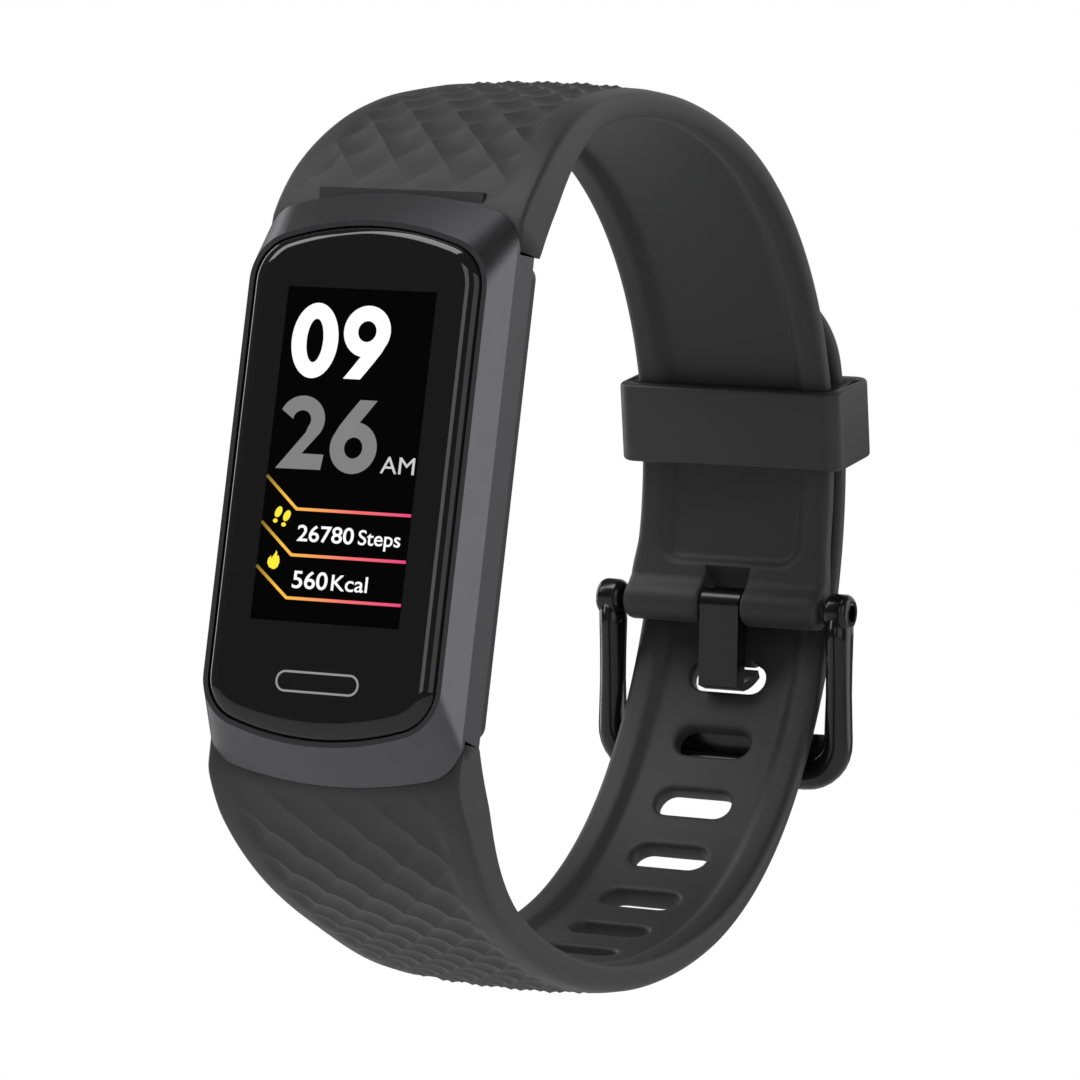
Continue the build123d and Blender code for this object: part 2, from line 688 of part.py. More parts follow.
# ---------------------------------------------------------------- buckle and keeper
def make_buckle():
    tilt = radians(frame_tilt)
    # Local plane of the frame: X across, its Y from the end bar up to the pivot.
    up = (0, -sin(tilt), cos(tilt))
    normal = (0, -cos(tilt), -sin(tilt))
    plane = Plane(origin=(0, *pivot), x_dir=X_AXIS, z_dir=normal)
    top = frame_thickness / 2 + 0.2
    bottom = -frame_reach - end_bar / 2
    outer = Pos(0, (top + bottom) / 2) * RectangleRounded(2 * buckle_half_width, top - bottom, 1.0)
    outline = outer.face()
    body = extrude(plane * outline, frame_thickness / 2, both=True)
    inner_half = buckle_half_width - arm_width
    inner_top = top + 4
    inner_low = bottom + end_bar
    window = Pos(0, (inner_top + inner_low) / 2) * RectangleRounded(
        2 * inner_half, inner_top - inner_low, frame_corner - arm_width
    )
    body -= extrude(plane * window, frame_thickness, both=True)
    # The two lower corners are rounded in plan.
    square = Pos(0, bottom) * Rectangle(4 * buckle_half_width, 2 * frame_corner)
    rounded = Pos(0, bottom + frame_corner) * RectangleRounded(
        2 * buckle_half_width, 2 * frame_corner, frame_corner - 0.01
    )
    body -= extrude(plane * (square - rounded), frame_thickness, both=True)
    # Round lobes at the ends of the arms, about the pivot.
    lobe = rod(frame_thickness / 2 + 0.25, -20, 20, *pivot)
    keep_low = extrude(plane * (Pos(0, -25) * Rectangle(60, 50)), 10, both=True)
    body = body & (keep_low + lobe)
    edges = [e for e in body.edges() if abs(e.center().X) > inner_half - 0.01 or e.center().Z < pivot_z - 5]
    body = fillet(edges, buckle_edge_radius)
    body -= rod(pivot_tip_radius + running_gap, -buckle_half_width - 1, buckle_half_width + 1, *pivot)
    save("buckle_frame", single(body))

    tube = rod(pivot_tube_radius, -barrel_half_length + 0.1, barrel_half_length - 0.1, *pivot)
    tube -= rod(pivot_bore_radius, -barrel_half_length + 0.6, barrel_half_length - 0.6, *pivot)
    tube -= rod(pivot_tip_radius + running_gap, -20, 20, *pivot)
    save("buckle_bar_tube", single(tube))
    collar = barrel_half_length - 0.65
    reach = buckle_half_width - 0.3
    for name, side in (("left", -1), ("right", 1)):
        tip = rod(pivot_tip_radius, *sorted((side * (collar - 0.8), side * reach)), *pivot)
        tip += rod(pivot_bore_radius - running_gap, *sorted((side * (collar - 0.8), side * collar)), *pivot)
        save(f"buckle_bar_tip_{name}", single(tip))
    coil_end = collar - 0.85
    coil = rod(pivot_bore_radius - 0.03, -coil_end, coil_end, *pivot)
    coil -= rod(pivot_bore_radius - 0.2, -20, 20, *pivot)
    save("buckle_bar_spring", single(coil))


def make_tongue():
    inner_face = pivot_y - tongue_curl_radius
    curl = Pos(*pivot) * Circle(tongue_curl_radius)
    reach = prong_radius + prong_thickness / 2
    lean = radians(prong_lean)
    tip_lean = radians(prong_end)
    foot_y, foot_z = pivot_y + reach * cos(lean), pivot_z + reach * sin(lean)
    blade = Polyline(
        (inner_face, pivot_z),
        (foot_y - tongue_thickness, foot_z + 0.12),
        (foot_y, foot_z),
        (inner_face + tongue_thickness + 0.5, pivot_z),
        close=True,
    )
    profile = curl + make_face(blade)
    band = Pos(*pivot) * (Circle(reach) - Circle(reach - prong_thickness))
    wedge = Polyline(
        pivot,
        (pivot_y + 20 * cos(lean), pivot_z + 20 * sin(lean)),
        (pivot_y + 20 * cos(tip_lean), pivot_z + 20 * sin(tip_lean)),
        close=True,
    )
    profile += band & make_face(wedge)
    body = extrude(Plane.YZ * profile, tongue_half_width, both=True)
    body -= rod(pivot_tube_radius + running_gap, -5, 5, *pivot)
    save("buckle_tongue", single(body))


def make_keeper():
    inner_low = back_radius - keeper_gap
    inner_high = tail_radius + strap_thickness - 0.1 + keeper_gap
    spread = degrees(keeper_height / back_radius)
    first = radians(keeper_angle - spread)
    section = Plane(origin=(0, *back_centre), x_dir=X_AXIS, z_dir=(0, -sin(first), cos(first)))
    middle = (inner_low + inner_high) / 2
    half_width = strap_half_width + keeper_gap + 0.1
    outer = Pos(0, middle) * RectangleRounded(
        2 * (half_width + keeper_side_wall), inner_high - inner_low + 2 * keeper_wall, keeper_corner
    )
    inner = Pos(0, middle) * RectangleRounded(2 * half_width, inner_high - inner_low, 0.3)
    axis = Axis((0, *back_centre), X_AXIS)
    body = revolve(section * (outer - inner), axis, 2 * spread)
    around = radians(keeper_angle)
    centre = (0, back_centre_y + middle * cos(around), back_centre_z + middle * sin(around))
    cutter = Plane(origin=centre, x_dir=X_AXIS, z_dir=(0, -sin(around), cos(around)))
    body = body & (cutter * Box(40, 20, keeper_height))
    save("keeper_loop", single(body))


make_case()
make_display()
make_electronics()
make_motor()
make_back()
make_release_bar("upper_bar", 1)
make_release_bar("lower_bar", -1)
make_upper_strap()
make_lower_strap()
make_buckle()
make_tongue()
make_keeper()
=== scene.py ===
import json
from math import atan2, cos, floor, hypot, pi, radians, sin, sqrt

import bmesh
import bpy
from mathutils import Matrix, Vector


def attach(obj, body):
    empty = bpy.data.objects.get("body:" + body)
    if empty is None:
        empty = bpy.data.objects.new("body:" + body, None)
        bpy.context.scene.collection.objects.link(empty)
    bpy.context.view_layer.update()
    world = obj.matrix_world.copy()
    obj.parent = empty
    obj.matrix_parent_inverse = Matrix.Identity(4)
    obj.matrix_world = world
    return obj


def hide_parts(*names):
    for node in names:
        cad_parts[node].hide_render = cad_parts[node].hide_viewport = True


bl_info = {
    "name": "Fitness Tracker Band",
    "version": (1, 0, 0),
    "blender": (4, 5, 0),
    "location": "3D View > Sidebar > Band",
    "description": "Dresses a fitness tracker band: straps, keeper, glass, screen, buckle and finishes",
    "category": "Object",
}

# X runs along the wrist, -Y is the way the display faces, +Z is the twelve-o'clock side.
# Pieces are shaped in millimetres and scaled to metres as they are finished.
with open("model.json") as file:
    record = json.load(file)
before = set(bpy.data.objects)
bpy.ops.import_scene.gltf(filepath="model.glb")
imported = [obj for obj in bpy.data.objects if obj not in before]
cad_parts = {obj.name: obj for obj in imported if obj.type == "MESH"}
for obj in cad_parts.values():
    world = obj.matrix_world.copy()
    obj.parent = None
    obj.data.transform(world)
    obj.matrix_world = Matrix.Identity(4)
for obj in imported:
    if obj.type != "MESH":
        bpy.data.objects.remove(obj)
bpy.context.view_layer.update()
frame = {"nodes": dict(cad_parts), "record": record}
MM = 0.001

# ---------------------------------------------------------------- the maker's sizes, in millimetres
# Straps: each line is the wrist side, as tangent arcs of a radius and a turn in degrees.
UPPER_START = (26.714, -0.590)
UPPER_HEADING = 81.5
UPPER_ARCS = ((26.05, 89.9), (41.41, 30.3), (17.72, 49.1))
UPPER_DEPTHS = ((0.0, 2.12), (4.0, 2.0), (40.87, 2.0), (62.77, 2.5), (77.96, 4.25))
LOWER_START = (22.145, 22.012)
LOWER_HEADING = -48.5
LOWER_ARCS = ((28.3, -28.5), (34.5, -38.0), (24.01, -39.1), (40.06, -46.3), (20.5, -39.7))
LOWER_DEPTHS = ((0.0, 1.9), (14.08, 1.9), (36.96, 2.0), (53.34, 2.4), (85.71, 2.5), (99.92, 4.25))
BUCKLED_SLOT = 29.34
SEAM_HALF_WIDTH = 9.2
SEAM_HALF_LENGTH = 19.38
SEAM_SIDE = 9.2
SEAM_END_RADIUS = 30.03
SEAM_CORNER = 2.63
NECK_HALF_WIDTH = 7.6
SHOULDER_Y = -30.3
WIDE_Y = -26.5
NARROW_Y = -9.1
PIVOT = (27.4, -0.5)
BARREL_RADIUS = 1.45
BARREL_HALF_LENGTH = 7.85
BUCKLE_TILT = 13.9
BUCKLE_REACH = 12.05
BUCKLE_CORNER = 2.6
BUCKLE_PLATE = 2.6
LOBE_OUTER = 10.12
LOBE_INNER = 8.18
ARM_MIDDLE = 9.14
NOTCH_HALF_WIDTH = 1.8
NOTCH_TOP = 1.9
BACK_CENTRE = (0.95, 3.26)
TAB_HALF_WIDTH = 6.02
TAB_BACK_Y = -27.2
TAB_FRONT_Y = -29.9
TAB_END = 19.7
COLUMNS = 19
PAST_BARREL = 99  # a row beyond the barrel
WALL_STEPS = 3


# ---------------------------------------------------------------- small helpers
def clamp(value, low=0.0, high=1.0):
    return max(low, min(high, value))


def ease(value, low, high):
    """0 before low, 1 after high and a smooth step between."""
    share = clamp((value - low) / (high - low))
    return share * share * (3 - 2 * share)


def along(stops, distance):
    """Value between stops of (distance, value)."""
    for (a, low), (b, high) in zip(stops, stops[1:]):
        if distance <= b:
            return low + (high - low) * clamp((distance - a) / (b - a))
    return stops[-1][1]


def piece_from(bm, name, material, body, smooth=True, stands_for=()):
    """Finished object of a mesh in millimetres: faces outward, in metres, riding on its body."""
    bmesh.ops.remove_doubles(bm, verts=bm.verts, dist=0.0005)
    bmesh.ops.recalc_face_normals(bm, faces=bm.faces)
    bmesh.ops.scale(bm, vec=(MM, MM, MM), verts=bm.verts)
    mesh = bpy.data.meshes.new(name)
    for face in bm.faces:
        face.smooth = smooth
    bm.to_mesh(mesh)
    bm.free()
    mesh.materials.append(material)
    piece = bpy.data.objects.new(name, mesh)
    bpy.context.scene.collection.objects.link(piece)
    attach(piece, body)
    if stands_for:
        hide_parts(*stands_for)
    return piece


# ---------------------------------------------------------------- finishes
def new_finish(name, colour, roughness, metallic=0.0, grain=0.25, relief=0.004, mottle=0.06, **sockets):
    """Principled finish with a fine grain: grain is its size and relief its height, in millimetres."""
    material = bpy.data.materials.new(name)
    material.use_nodes = True
    nodes, links = material.node_tree.nodes, material.node_tree.links
    shader = nodes["Principled BSDF"]
    shader.inputs["Metallic"].default_value = metallic
    for socket, value in sockets.items():
        shader.inputs[socket.replace("_", " ")].default_value = value
    place = nodes.new("ShaderNodeTexCoord")
    fine = nodes.new("ShaderNodeTexNoise")
    fine.inputs["Scale"].default_value = 1 / (grain * MM)
    fine.inputs["Detail"].default_value = 3.0
    broad = nodes.new("ShaderNodeTexNoise")
    broad.inputs["Scale"].default_value = 1 / (12 * grain * MM)
    broad.inputs["Detail"].default_value = 2.0
    tone = nodes.new("ShaderNodeMapRange")
    tone.inputs["To Min"].default_value = 1 - mottle
    tone.inputs["To Max"].default_value = 1 + mottle
    tint = nodes.new("ShaderNodeMix")
    tint.data_type = "RGBA"
    tint.blend_type = "MULTIPLY"
    tint.inputs["Factor"].default_value = 1.0
    tint.inputs[6].default_value = (*colour, 1.0)
    gloss = nodes.new("ShaderNodeMapRange")
    gloss.inputs["To Min"].default_value = clamp(roughness * (1 - 1.5 * mottle))
    gloss.inputs["To Max"].default_value = clamp(roughness * (1 + 1.5 * mottle))
    bump = nodes.new("ShaderNodeBump")
    bump.inputs["Distance"].default_value = relief * MM
    bump.inputs["Strength"].default_value = 1.0
    for node in (fine, broad):
        links.new(place.outputs["Object"], node.inputs["Vector"])
    links.new(broad.outputs["Fac"], tone.inputs["Value"])
    links.new(tone.outputs["Result"], tint.inputs[7])
    links.new(tint.outputs[2], shader.inputs["Base Color"])
    links.new(fine.outputs["Fac"], gloss.inputs["Value"])
    links.new(gloss.outputs["Result"], shader.inputs["Roughness"])
    links.new(fine.outputs["Fac"], bump.inputs["Height"])
    links.new(bump.outputs["Normal"], shader.inputs["Normal"])
    return material


def paint_node(name, material):
    """Gives a frame node its finish, on its own material slots."""
    mesh = frame["nodes"][name].data
    mesh.materials.clear()
    mesh.materials.append(material)


# ---------------------------------------------------------------- straps
class StrapLine:
    """Wrist side of a strap: tangent arcs in Y and Z, measured from the end away from the case."""

    def __init__(self, start, heading, arcs):
        self.arcs = []
        y, z = start
        gone = 0.0
        for radius, turn in arcs:
            side = 1 if turn > 0 else -1
            centre = (y - side * radius * sin(radians(heading)), z + side * radius * cos(radians(heading)))
            first = heading - 90 * side
            length = radius * abs(radians(turn))
            self.arcs.append((gone, length, centre, radius, first, turn))
            gone += length
            heading += turn
            y = centre[0] + radius * cos(radians(first + turn))
            z = centre[1] + radius * sin(radians(first + turn))
        self.length = gone

    def place(self, distance, height):
        """Y and Z at a distance along the line and a height off it, away from the wrist."""
        for arc in self.arcs:
            if distance <= arc[0] + arc[1]:
                break
        gone, length, centre, radius, first, turn = arc
        around = radians(first + turn * (distance - gone) / length)
        reach = radius + height
        return centre[0] + reach * cos(around), centre[1] + reach * sin(around)


def soft_floor(value, floor_value, soft=0.5):
    """The larger of two values, with the corner between them rounded."""
    gap = value - floor_value
    return floor_value + 0.5 * (gap + sqrt(gap * gap + soft * soft * 0.2))


def half_width_at(y):
    """Half the strap's width: the case's at the seam, then narrowing to the buckle's."""
    share = clamp((y - WIDE_Y) / (NARROW_Y - WIDE_Y))
    return NECK_HALF_WIDTH + (SEAM_HALF_WIDTH - NECK_HALF_WIDTH) * (1 - share**1.2) ** 2.4


class StrapShape:
    """Where each point of a strap's skin lies, from its column, row and side."""

    def __init__(self, line, depths, up, settings):
        self.line = line
        self.depths = depths
        self.up = up
        self.barrel_rows = 7 if up > 0 else 0
        self.dish = settings.dish_depth / MM
        self.recess_depth = settings.recess_depth / MM
        self.recess_half_width = 5.5
        self.recess = (3.2, 66.0) if up > 0 else (-4.0, 89.2)
        self.pattern = (44.0, 48.0) if up > 0 else (64.2, 69.2)
        self.slots = []
        if up < 0:
            pitch = settings.slot_pitch / MM
            self.slots = [BUCKLED_SLOT + pitch * step for step in range(-3, 7)]
        self.slot_reach = (settings.slot_length - settings.slot_width) / 2 / MM
        self.slot_radius = settings.slot_width / 2 / MM
        self.slot_lip = 0.32
        self.rows = [0.0]
        while self.rows[-1] < line.length + 4:
            step = 6.95 / COLUMNS * self.width(self.rows[-1]) / NECK_HALF_WIDTH
            self.rows.append(self.rows[-1] + max(step, 0.33))
        self.ends = {}
        self.seam_points = []

    def middle_width(self, distance):
        return half_width_at(self.line.place(distance, 1.5)[0])

    def width(self, distance):
        width = self.middle_width(distance)
        if self.up > 0:
            return width + (BARREL_HALF_LENGTH - NECK_HALF_WIDTH) * (1 - ease(distance, 0.5, 5.5))
        share = clamp((6.5 - distance) / 6.5)
        return 2.2 + (width - 2.2) * (1 - share**2.3) ** (1 / 2.3)

    def edge_roll(self, distance):
        """Rounding of the long edges, crisper where the strap meets the case."""
        return 0.3 + 0.24 * (1 - ease(distance, self.line.length - 9, self.line.length - 1))

    def distance(self, row):
        row = max(0.0, row - self.barrel_rows)
        low = min(int(floor(row)), len(self.rows) - 2)
        return self.rows[low] + (row - low) * (self.rows[low + 1] - self.rows[low])

    def across(self, column, distance):
        return column / COLUMNS * (self.width(distance) - self.edge_roll(distance))

    def depth(self, distance):
        steps = (-3.0, -1.5, 0.0, 1.5, 3.0)
        return sum(along(self.depths, distance + step) for step in steps) / len(steps)

    def dished(self, column, row):
        """Depth of the diamond dishes at a point of the skin, ridges at 0."""
        a = 2 * (((column + row) / 8) % 1.0) - 1
        b = 2 * (((column - row) / 8) % 1.0) - 1
        return self.dish * ((a * a + b * b) / 2 - 1)

    def pattern_share(self, column, row):
        """How much of the diamond pattern shows: none on the margins, the bare part and at the seam."""
        distance = self.distance(row)
        along_share = ease(distance, *self.pattern)
        gap = self.seam_end(column) - distance
        near_seam = 0.45 + 0.55 * ease(gap, 1.0, 4.5)
        return along_share * near_seam * ease(gap, 0.3, 1.2) * (1 - ease(abs(column), 14.2, 16.6))

    def outer_height(self, x, distance):
        width = self.width(distance)
        near_case = ease(distance, self.line.length - 16, self.line.length)
        near_barrel = 1 - ease(distance, 0.0, 6.0) if self.up > 0 else 0.0
        crown = (0.62 - 0.27 * near_case) * (1 - 0.8 * near_barrel)
        return self.depth(distance) - crown * min(abs(x / width), 1.0) ** 2.8

    def inner_height(self, x, distance):
        low, high = self.recess
        middle, half = (low + high) / 2, (high - low) / 2
        corner = 1.6
        over_x = abs(x) - (self.recess_half_width - corner)
        over_s = abs(distance - middle) - (half - corner)
        out = hypot(max(over_x, 0), max(over_s, 0)) + min(max(over_x, over_s), 0) - corner
        return self.recess_depth * (1 - ease(out, -0.55, 0.35))

    def outer_at(self, row, x, distance, below=0.0, lift=0.0):
        if row < self.barrel_rows:
            around = radians(-98.5 + 15.0 * row)
            reach = BARREL_RADIUS - below
            return Vector((x, PIVOT[0] + reach * cos(around), PIVOT[1] + reach * sin(around)))
        y, z = self.line.place(distance, self.outer_height(x, distance) + lift - below)
        return Vector((x, soft_floor(y, SHOULDER_Y + below), z))

    def inner_at(self, row, x, distance, above=0.0):
        if row < self.barrel_rows:
            around = radians(-98.5 - 23.0 * row)
            reach = BARREL_RADIUS - above
            return Vector((x, PIVOT[0] + reach * cos(around), PIVOT[1] + reach * sin(around)))
        if self.up > 0 and distance < 4.4:
            distance = 1.9 + distance * 2.5 / 4.4
        y, z = self.line.place(distance, self.inner_height(x, distance) + above)
        return Vector((x, y, z))

    def seam_z(self, x):
        flat = SEAM_HALF_LENGTH - SEAM_END_RADIUS
        corner_x = SEAM_SIDE - SEAM_CORNER
        if abs(x) < corner_x * SEAM_END_RADIUS / (SEAM_END_RADIUS - SEAM_CORNER):
            return flat + sqrt(SEAM_END_RADIUS**2 - x * x)
        corner_z = flat + sqrt((SEAM_END_RADIUS - SEAM_CORNER) ** 2 - corner_x**2)
        return corner_z + sqrt(max(0.0, SEAM_CORNER**2 - (abs(x) - corner_x) ** 2))

    def seam_end(self, column, inner=False):
        """Distance at which a column of the skin reaches the case seam."""
        key = (round(column * 8), inner)
        if key not in self.ends:
            low, high = self.line.length - 12, self.line.length + 4
            for _ in range(26):
                middle = (low + high) / 2
                x = self.across(column, middle)
                at = self.inner_at(PAST_BARREL, x, middle) if inner else self.outer_at(PAST_BARREL, x, middle)
                beyond = at.z * self.up < self.seam_z(x)
                low, high = (low, middle) if beyond else (middle, high)
            self.ends[key] = (low + high) / 2
        return self.ends[key]

    def seam_end_beside(self, x, near, inner=False):
        """Distance at which the skin reaches the case seam at a place across the strap."""
        low, high = near - 4, near + 4
        for _ in range(18):
            middle = (low + high) / 2
            at = self.inner_at(PAST_BARREL, x, middle) if inner else self.outer_at(PAST_BARREL, x, middle)
            beyond = at.z * self.up < self.seam_z(x)
            low, high = (low, middle) if beyond else (middle, high)
        return (low + high) / 2

    def seam_near(self, x, distance):
        """Column at which the seam comes closest to a point of the skin."""
        if not self.seam_points:
            for step in range(-8 * COLUMNS, 8 * COLUMNS + 1):
                end = self.seam_end(step / 8)
                self.seam_points.append((self.across(step / 8, end), end, step / 8))
        return min(self.seam_points, key=lambda p: hypot(p[0] - x, p[1] - distance))[2]

    def in_slot(self, x, distance):
        """The middle line point of the slot that a point falls in, or None."""
        for place in self.slots:
            near = (clamp(x, -self.slot_reach, self.slot_reach), place)
            if hypot(x - near[0], distance - near[1]) < self.slot_radius + self.slot_lip:
                return near
        return None


def cut_out(shape, column, row):
    """Whether a patch of the flat skin falls in the notch, in a slot or past the seam."""
    distance = shape.distance(row)
    x = shape.across(column, distance)
    if shape.up > 0 and abs(x) < NOTCH_HALF_WIDTH + 0.1 and distance < NOTCH_TOP:
        return True
    return distance > shape.seam_end(column) or shape.in_slot(x, distance) is not None


def rim_point(shape, column, row):
    """Place and rounding of a point on the rim of the skin: seam, slots, notch or long edge."""
    distance = shape.distance(row)
    x = shape.across(column, distance)
    roll = shape.edge_roll(distance)
    last = distance > shape.seam_end(column) - 0.4
    if last or (distance > shape.line.length - 12 and abs(column) < COLUMNS):
        at = column if abs(column) == COLUMNS else shape.seam_near(x, distance)
        end = shape.seam_end(at)
        return shape.across(at, end), end, 0.14, at
    if abs(column) == COLUMNS:
        return x, distance, roll, None
    for place in shape.slots:
        near = (clamp(x, -shape.slot_reach, shape.slot_reach), place)
        off = hypot(x - near[0], distance - near[1])
        if off < shape.slot_radius + shape.slot_lip + 0.8:
            wide = (shape.slot_radius + shape.slot_lip) / off
            return near[0] + (x - near[0]) * wide, near[1] + (distance - near[1]) * wide, shape.slot_lip, None
    if shape.up > 0:
        return x, distance, 0.0 if row == 0 else 0.2, None
    return x, distance, roll, None


def make_strap(name, shape, material, stands_for):
    """Strap from one flat grid: skin, wrist side and walls, then laid along its line."""
    row_count = shape.barrel_rows + len(shape.rows) - 1
    bm = bmesh.new()
    bmesh.ops.create_grid(bm, x_segments=2 * COLUMNS, y_segments=row_count, size=0.5)
    bmesh.ops.translate(bm, vec=(0, 0.5, 0), verts=bm.verts)
    bmesh.ops.scale(bm, vec=(2 * COLUMNS, row_count, 1), verts=bm.verts)
    for vert in bm.verts:
        vert.co.x, vert.co.y = round(vert.co.x), round(vert.co.y)
    gone = [f for f in bm.faces if cut_out(shape, f.calc_center_median().x, f.calc_center_median().y)]
    bmesh.ops.delete(bm, geom=gone, context="FACES")

    rims = {}
    for vert in bm.verts:
        if vert.is_boundary:
            column, row = vert.co.x, vert.co.y
            rims[(column, row)] = rim_point(shape, column, row)
    away = {}
    for edge in bm.edges:
        if not edge.is_boundary:
            continue
        keys = [(v.co.x, v.co.y) for v in edge.verts]
        (x0, s0, _, _), (x1, s1, _, _) = rims[keys[0]], rims[keys[1]]
        normal = Vector((s1 - s0, x0 - x1))
        centre = edge.link_faces[0].calc_center_median()
        distance = shape.distance(centre.y)
        inside = Vector((shape.across(centre.x, distance) - x0, distance - s0))
        on_barrel = max(key[1] for key in keys) < shape.barrel_rows
        if on_barrel:
            normal = Vector((1.0, 0.0))
            inside = Vector((centre.x - keys[0][0], 0.0))
        if keys[0][1] == keys[1][1] and on_barrel:
            normal = Vector((0.0, 0.0))
        if normal.dot(inside) > 0:
            normal = -normal
        for key in keys:
            away[key] = away.get(key, Vector((0.0, 0.0))) + (normal.normalized() if normal.length else normal)

    made = bmesh.ops.extrude_face_region(bm, geom=list(bm.faces), use_keep_orig=True)
    inner = [g for g in made["geom"] if isinstance(g, bmesh.types.BMVert)]
    bmesh.ops.translate(bm, vec=(0, 0, -1), verts=inner)
    walls = [e for e in bm.edges if abs(e.verts[0].co.z - e.verts[1].co.z) > 0.5]
    bmesh.ops.subdivide_edges(bm, edges=walls, cuts=2 * WALL_STEPS, use_grid_fill=True)
    dishes = [
        f
        for f in bm.faces
        if all(v.co.z > -0.01 for v in f.verts)
        and shape.pattern_share(f.calc_center_median().x, f.calc_center_median().y) > 0
    ]
    bmesh.ops.poke(bm, faces=dishes)
    for edge in bm.edges:
        a, b = (v.co for v in edge.verts)
        if a.z < -0.01 or b.z < -0.01 or (a.x == b.x) or (a.y == b.y):
            continue
        on_sum = abs(a.x + a.y - b.x - b.y) < 0.01 and abs((a.x + a.y) / 8 - round((a.x + a.y) / 8)) < 0.01
        on_less = abs(a.x - a.y - b.x + b.y) < 0.01 and abs((a.x - a.y) / 8 - round((a.x - a.y) / 8)) < 0.01
        middle = (a + b) / 2
        edge.smooth = not ((on_sum or on_less) and shape.pattern_share(middle.x, middle.y) > 0.12)

    for vert in bm.verts:
        column, row, level = vert.co
        distance = shape.distance(row)
        x = shape.across(column, distance)
        key = (round(column), round(row))
        rim = rims.get(key) if abs(column - key[0]) < 0.01 and abs(row - key[1]) < 0.01 else None
        ring = round(-level * (2 * WALL_STEPS + 1))
        outer = ring <= WALL_STEPS
        turn = radians(90 * (ring if outer else 2 * WALL_STEPS + 1 - ring) / WALL_STEPS)
        below = 0.0
        if rim:
            x, distance, roll, seam_column = rim
            if not outer and seam_column is not None:
                distance = shape.seam_end(seam_column, inner=True)
            push = away[key].normalized() if away[key].length > 1e-6 else away[key]
            x += push.x * roll * sin(turn)
            if seam_column is not None:
                if abs(seam_column) == COLUMNS:
                    side_roll = shape.edge_roll(distance)
                    x = (shape.width(distance) - side_roll * (1 - sin(turn))) * seam_column / COLUMNS
                    below = side_roll * (1 - cos(turn))
                distance = shape.seam_end_beside(x, distance, not outer)
            distance += push.y * roll * sin(turn)
            below = max(below, roll * (1 - cos(turn)))
        elif not outer:
            end = shape.seam_end(column)
            distance += (shape.seam_end(column, inner=True) - end) * ease(distance, end - 6, end)
        if outer:
            lift = 0.0 if rim else shape.dished(column, row) * shape.pattern_share(column, row)
            vert.co = shape.outer_at(row, x, distance, below, lift)
        else:
            vert.co = shape.inner_at(row, x, distance, below)
    return piece_from(bm, name, material, "band", stands_for=stands_for)


def make_tab(name, node, up, material):
    """Root of a strap inside the case, that the spring bar goes through, trimmed from the frame's strap."""
    bm = bmesh.new()
    bm.from_mesh(frame["nodes"][node].data)
    bmesh.ops.remove_doubles(bm, verts=bm.verts, dist=0.000001)
    bmesh.ops.scale(bm, vec=(1 / MM, 1 / MM, 1 / MM), verts=bm.verts)
    for place, away in (
        ((TAB_HALF_WIDTH, 0, 0), (1, 0, 0)),
        ((-TAB_HALF_WIDTH, 0, 0), (-1, 0, 0)),
        ((0, TAB_BACK_Y, 0), (0, 1, 0)),
        ((0, TAB_FRONT_Y, 0), (0, -1, 0)),
        ((0, 0, up * TAB_END), (0, 0, up)),
    ):
        everything = list(bm.verts) + list(bm.edges) + list(bm.faces)
        bmesh.ops.bisect_plane(bm, geom=everything, plane_co=place, plane_no=away, clear_outer=True)
    return piece_from(bm, name, material, "band", smooth=False)


# ---------------------------------------------------------------- rings of a plan outline
def ring_loop(bm, points):
    """Closed loop of as many vertices as points, from a circle moved onto them."""
    made = bmesh.ops.create_circle(bm, cap_ends=False, segments=len(points), radius=1)
    for vert, point in zip(made["verts"], points):
        vert.co = point
    return list({e for v in made["verts"] for e in v.link_edges})


def loft(bm, rings, cap_first=False, cap_last=False, closed=False):
    """Skin through rings with the same number of points each."""
    loops = [ring_loop(bm, ring) for ring in rings]
    pairs = list(zip(loops, loops[1:]))
    if closed:
        pairs.append((loops[-1], loops[0]))
    for a, b in pairs:
        bmesh.ops.bridge_loops(bm, edges=a + b)
    for wanted, loop in ((cap_first, loops[0]), (cap_last, loops[-1])):
        if wanted:
            bmesh.ops.contextual_create(bm, geom=loop)


def round_box(half_x, half_y, corner, steps=6):
    """Points round a rectangle with round corners."""
    points = []
    for quarter, (sx, sy) in enumerate(((1, 1), (-1, 1), (-1, -1), (1, -1))):
        for step in range(steps + 1):
            around = radians(90 * (quarter + step / steps))
            x = sx * (half_x - corner) + corner * cos(around)
            points.append((x, sy * (half_y - corner) + corner * sin(around)))
    return points


def bowed_outline(half_width, half_length, end_radius, corner, steps=8, end_steps=16):
    """Points round a plan with straight sides, bowed ends and round corners."""
    lean_centre = half_length - end_radius
    centre_x = half_width - corner
    centre_z = lean_centre + sqrt((end_radius - corner) ** 2 - centre_x**2)
    lean = atan2(centre_z - lean_centre, centre_x)
    quarter = [
        (centre_x + corner * cos(lean * step / steps), centre_z + corner * sin(lean * step / steps))
        for step in range(steps + 1)
    ]
    for step in range(1, end_steps):
        around = lean + (pi - 2 * lean) * step / end_steps
        quarter.append((end_radius * cos(around), lean_centre + end_radius * sin(around)))
    quarter += [(-x, z) for x, z in reversed(quarter[: steps + 1])]
    return quarter + [(-x, -z) for x, z in quarter]


def flat_ring(points, y):
    return [(x, y, z) for x, z in points]


# ---------------------------------------------------------------- sizes and colours a user would change
def size(name, description, default):
    return bpy.props.FloatProperty(
        name=name, description=description, default=default, unit="LENGTH", precision=5
    )


def colour(name, description, default):
    return bpy.props.FloatVectorProperty(
        name=name, description=description, default=default, subtype="COLOR", size=3
    )


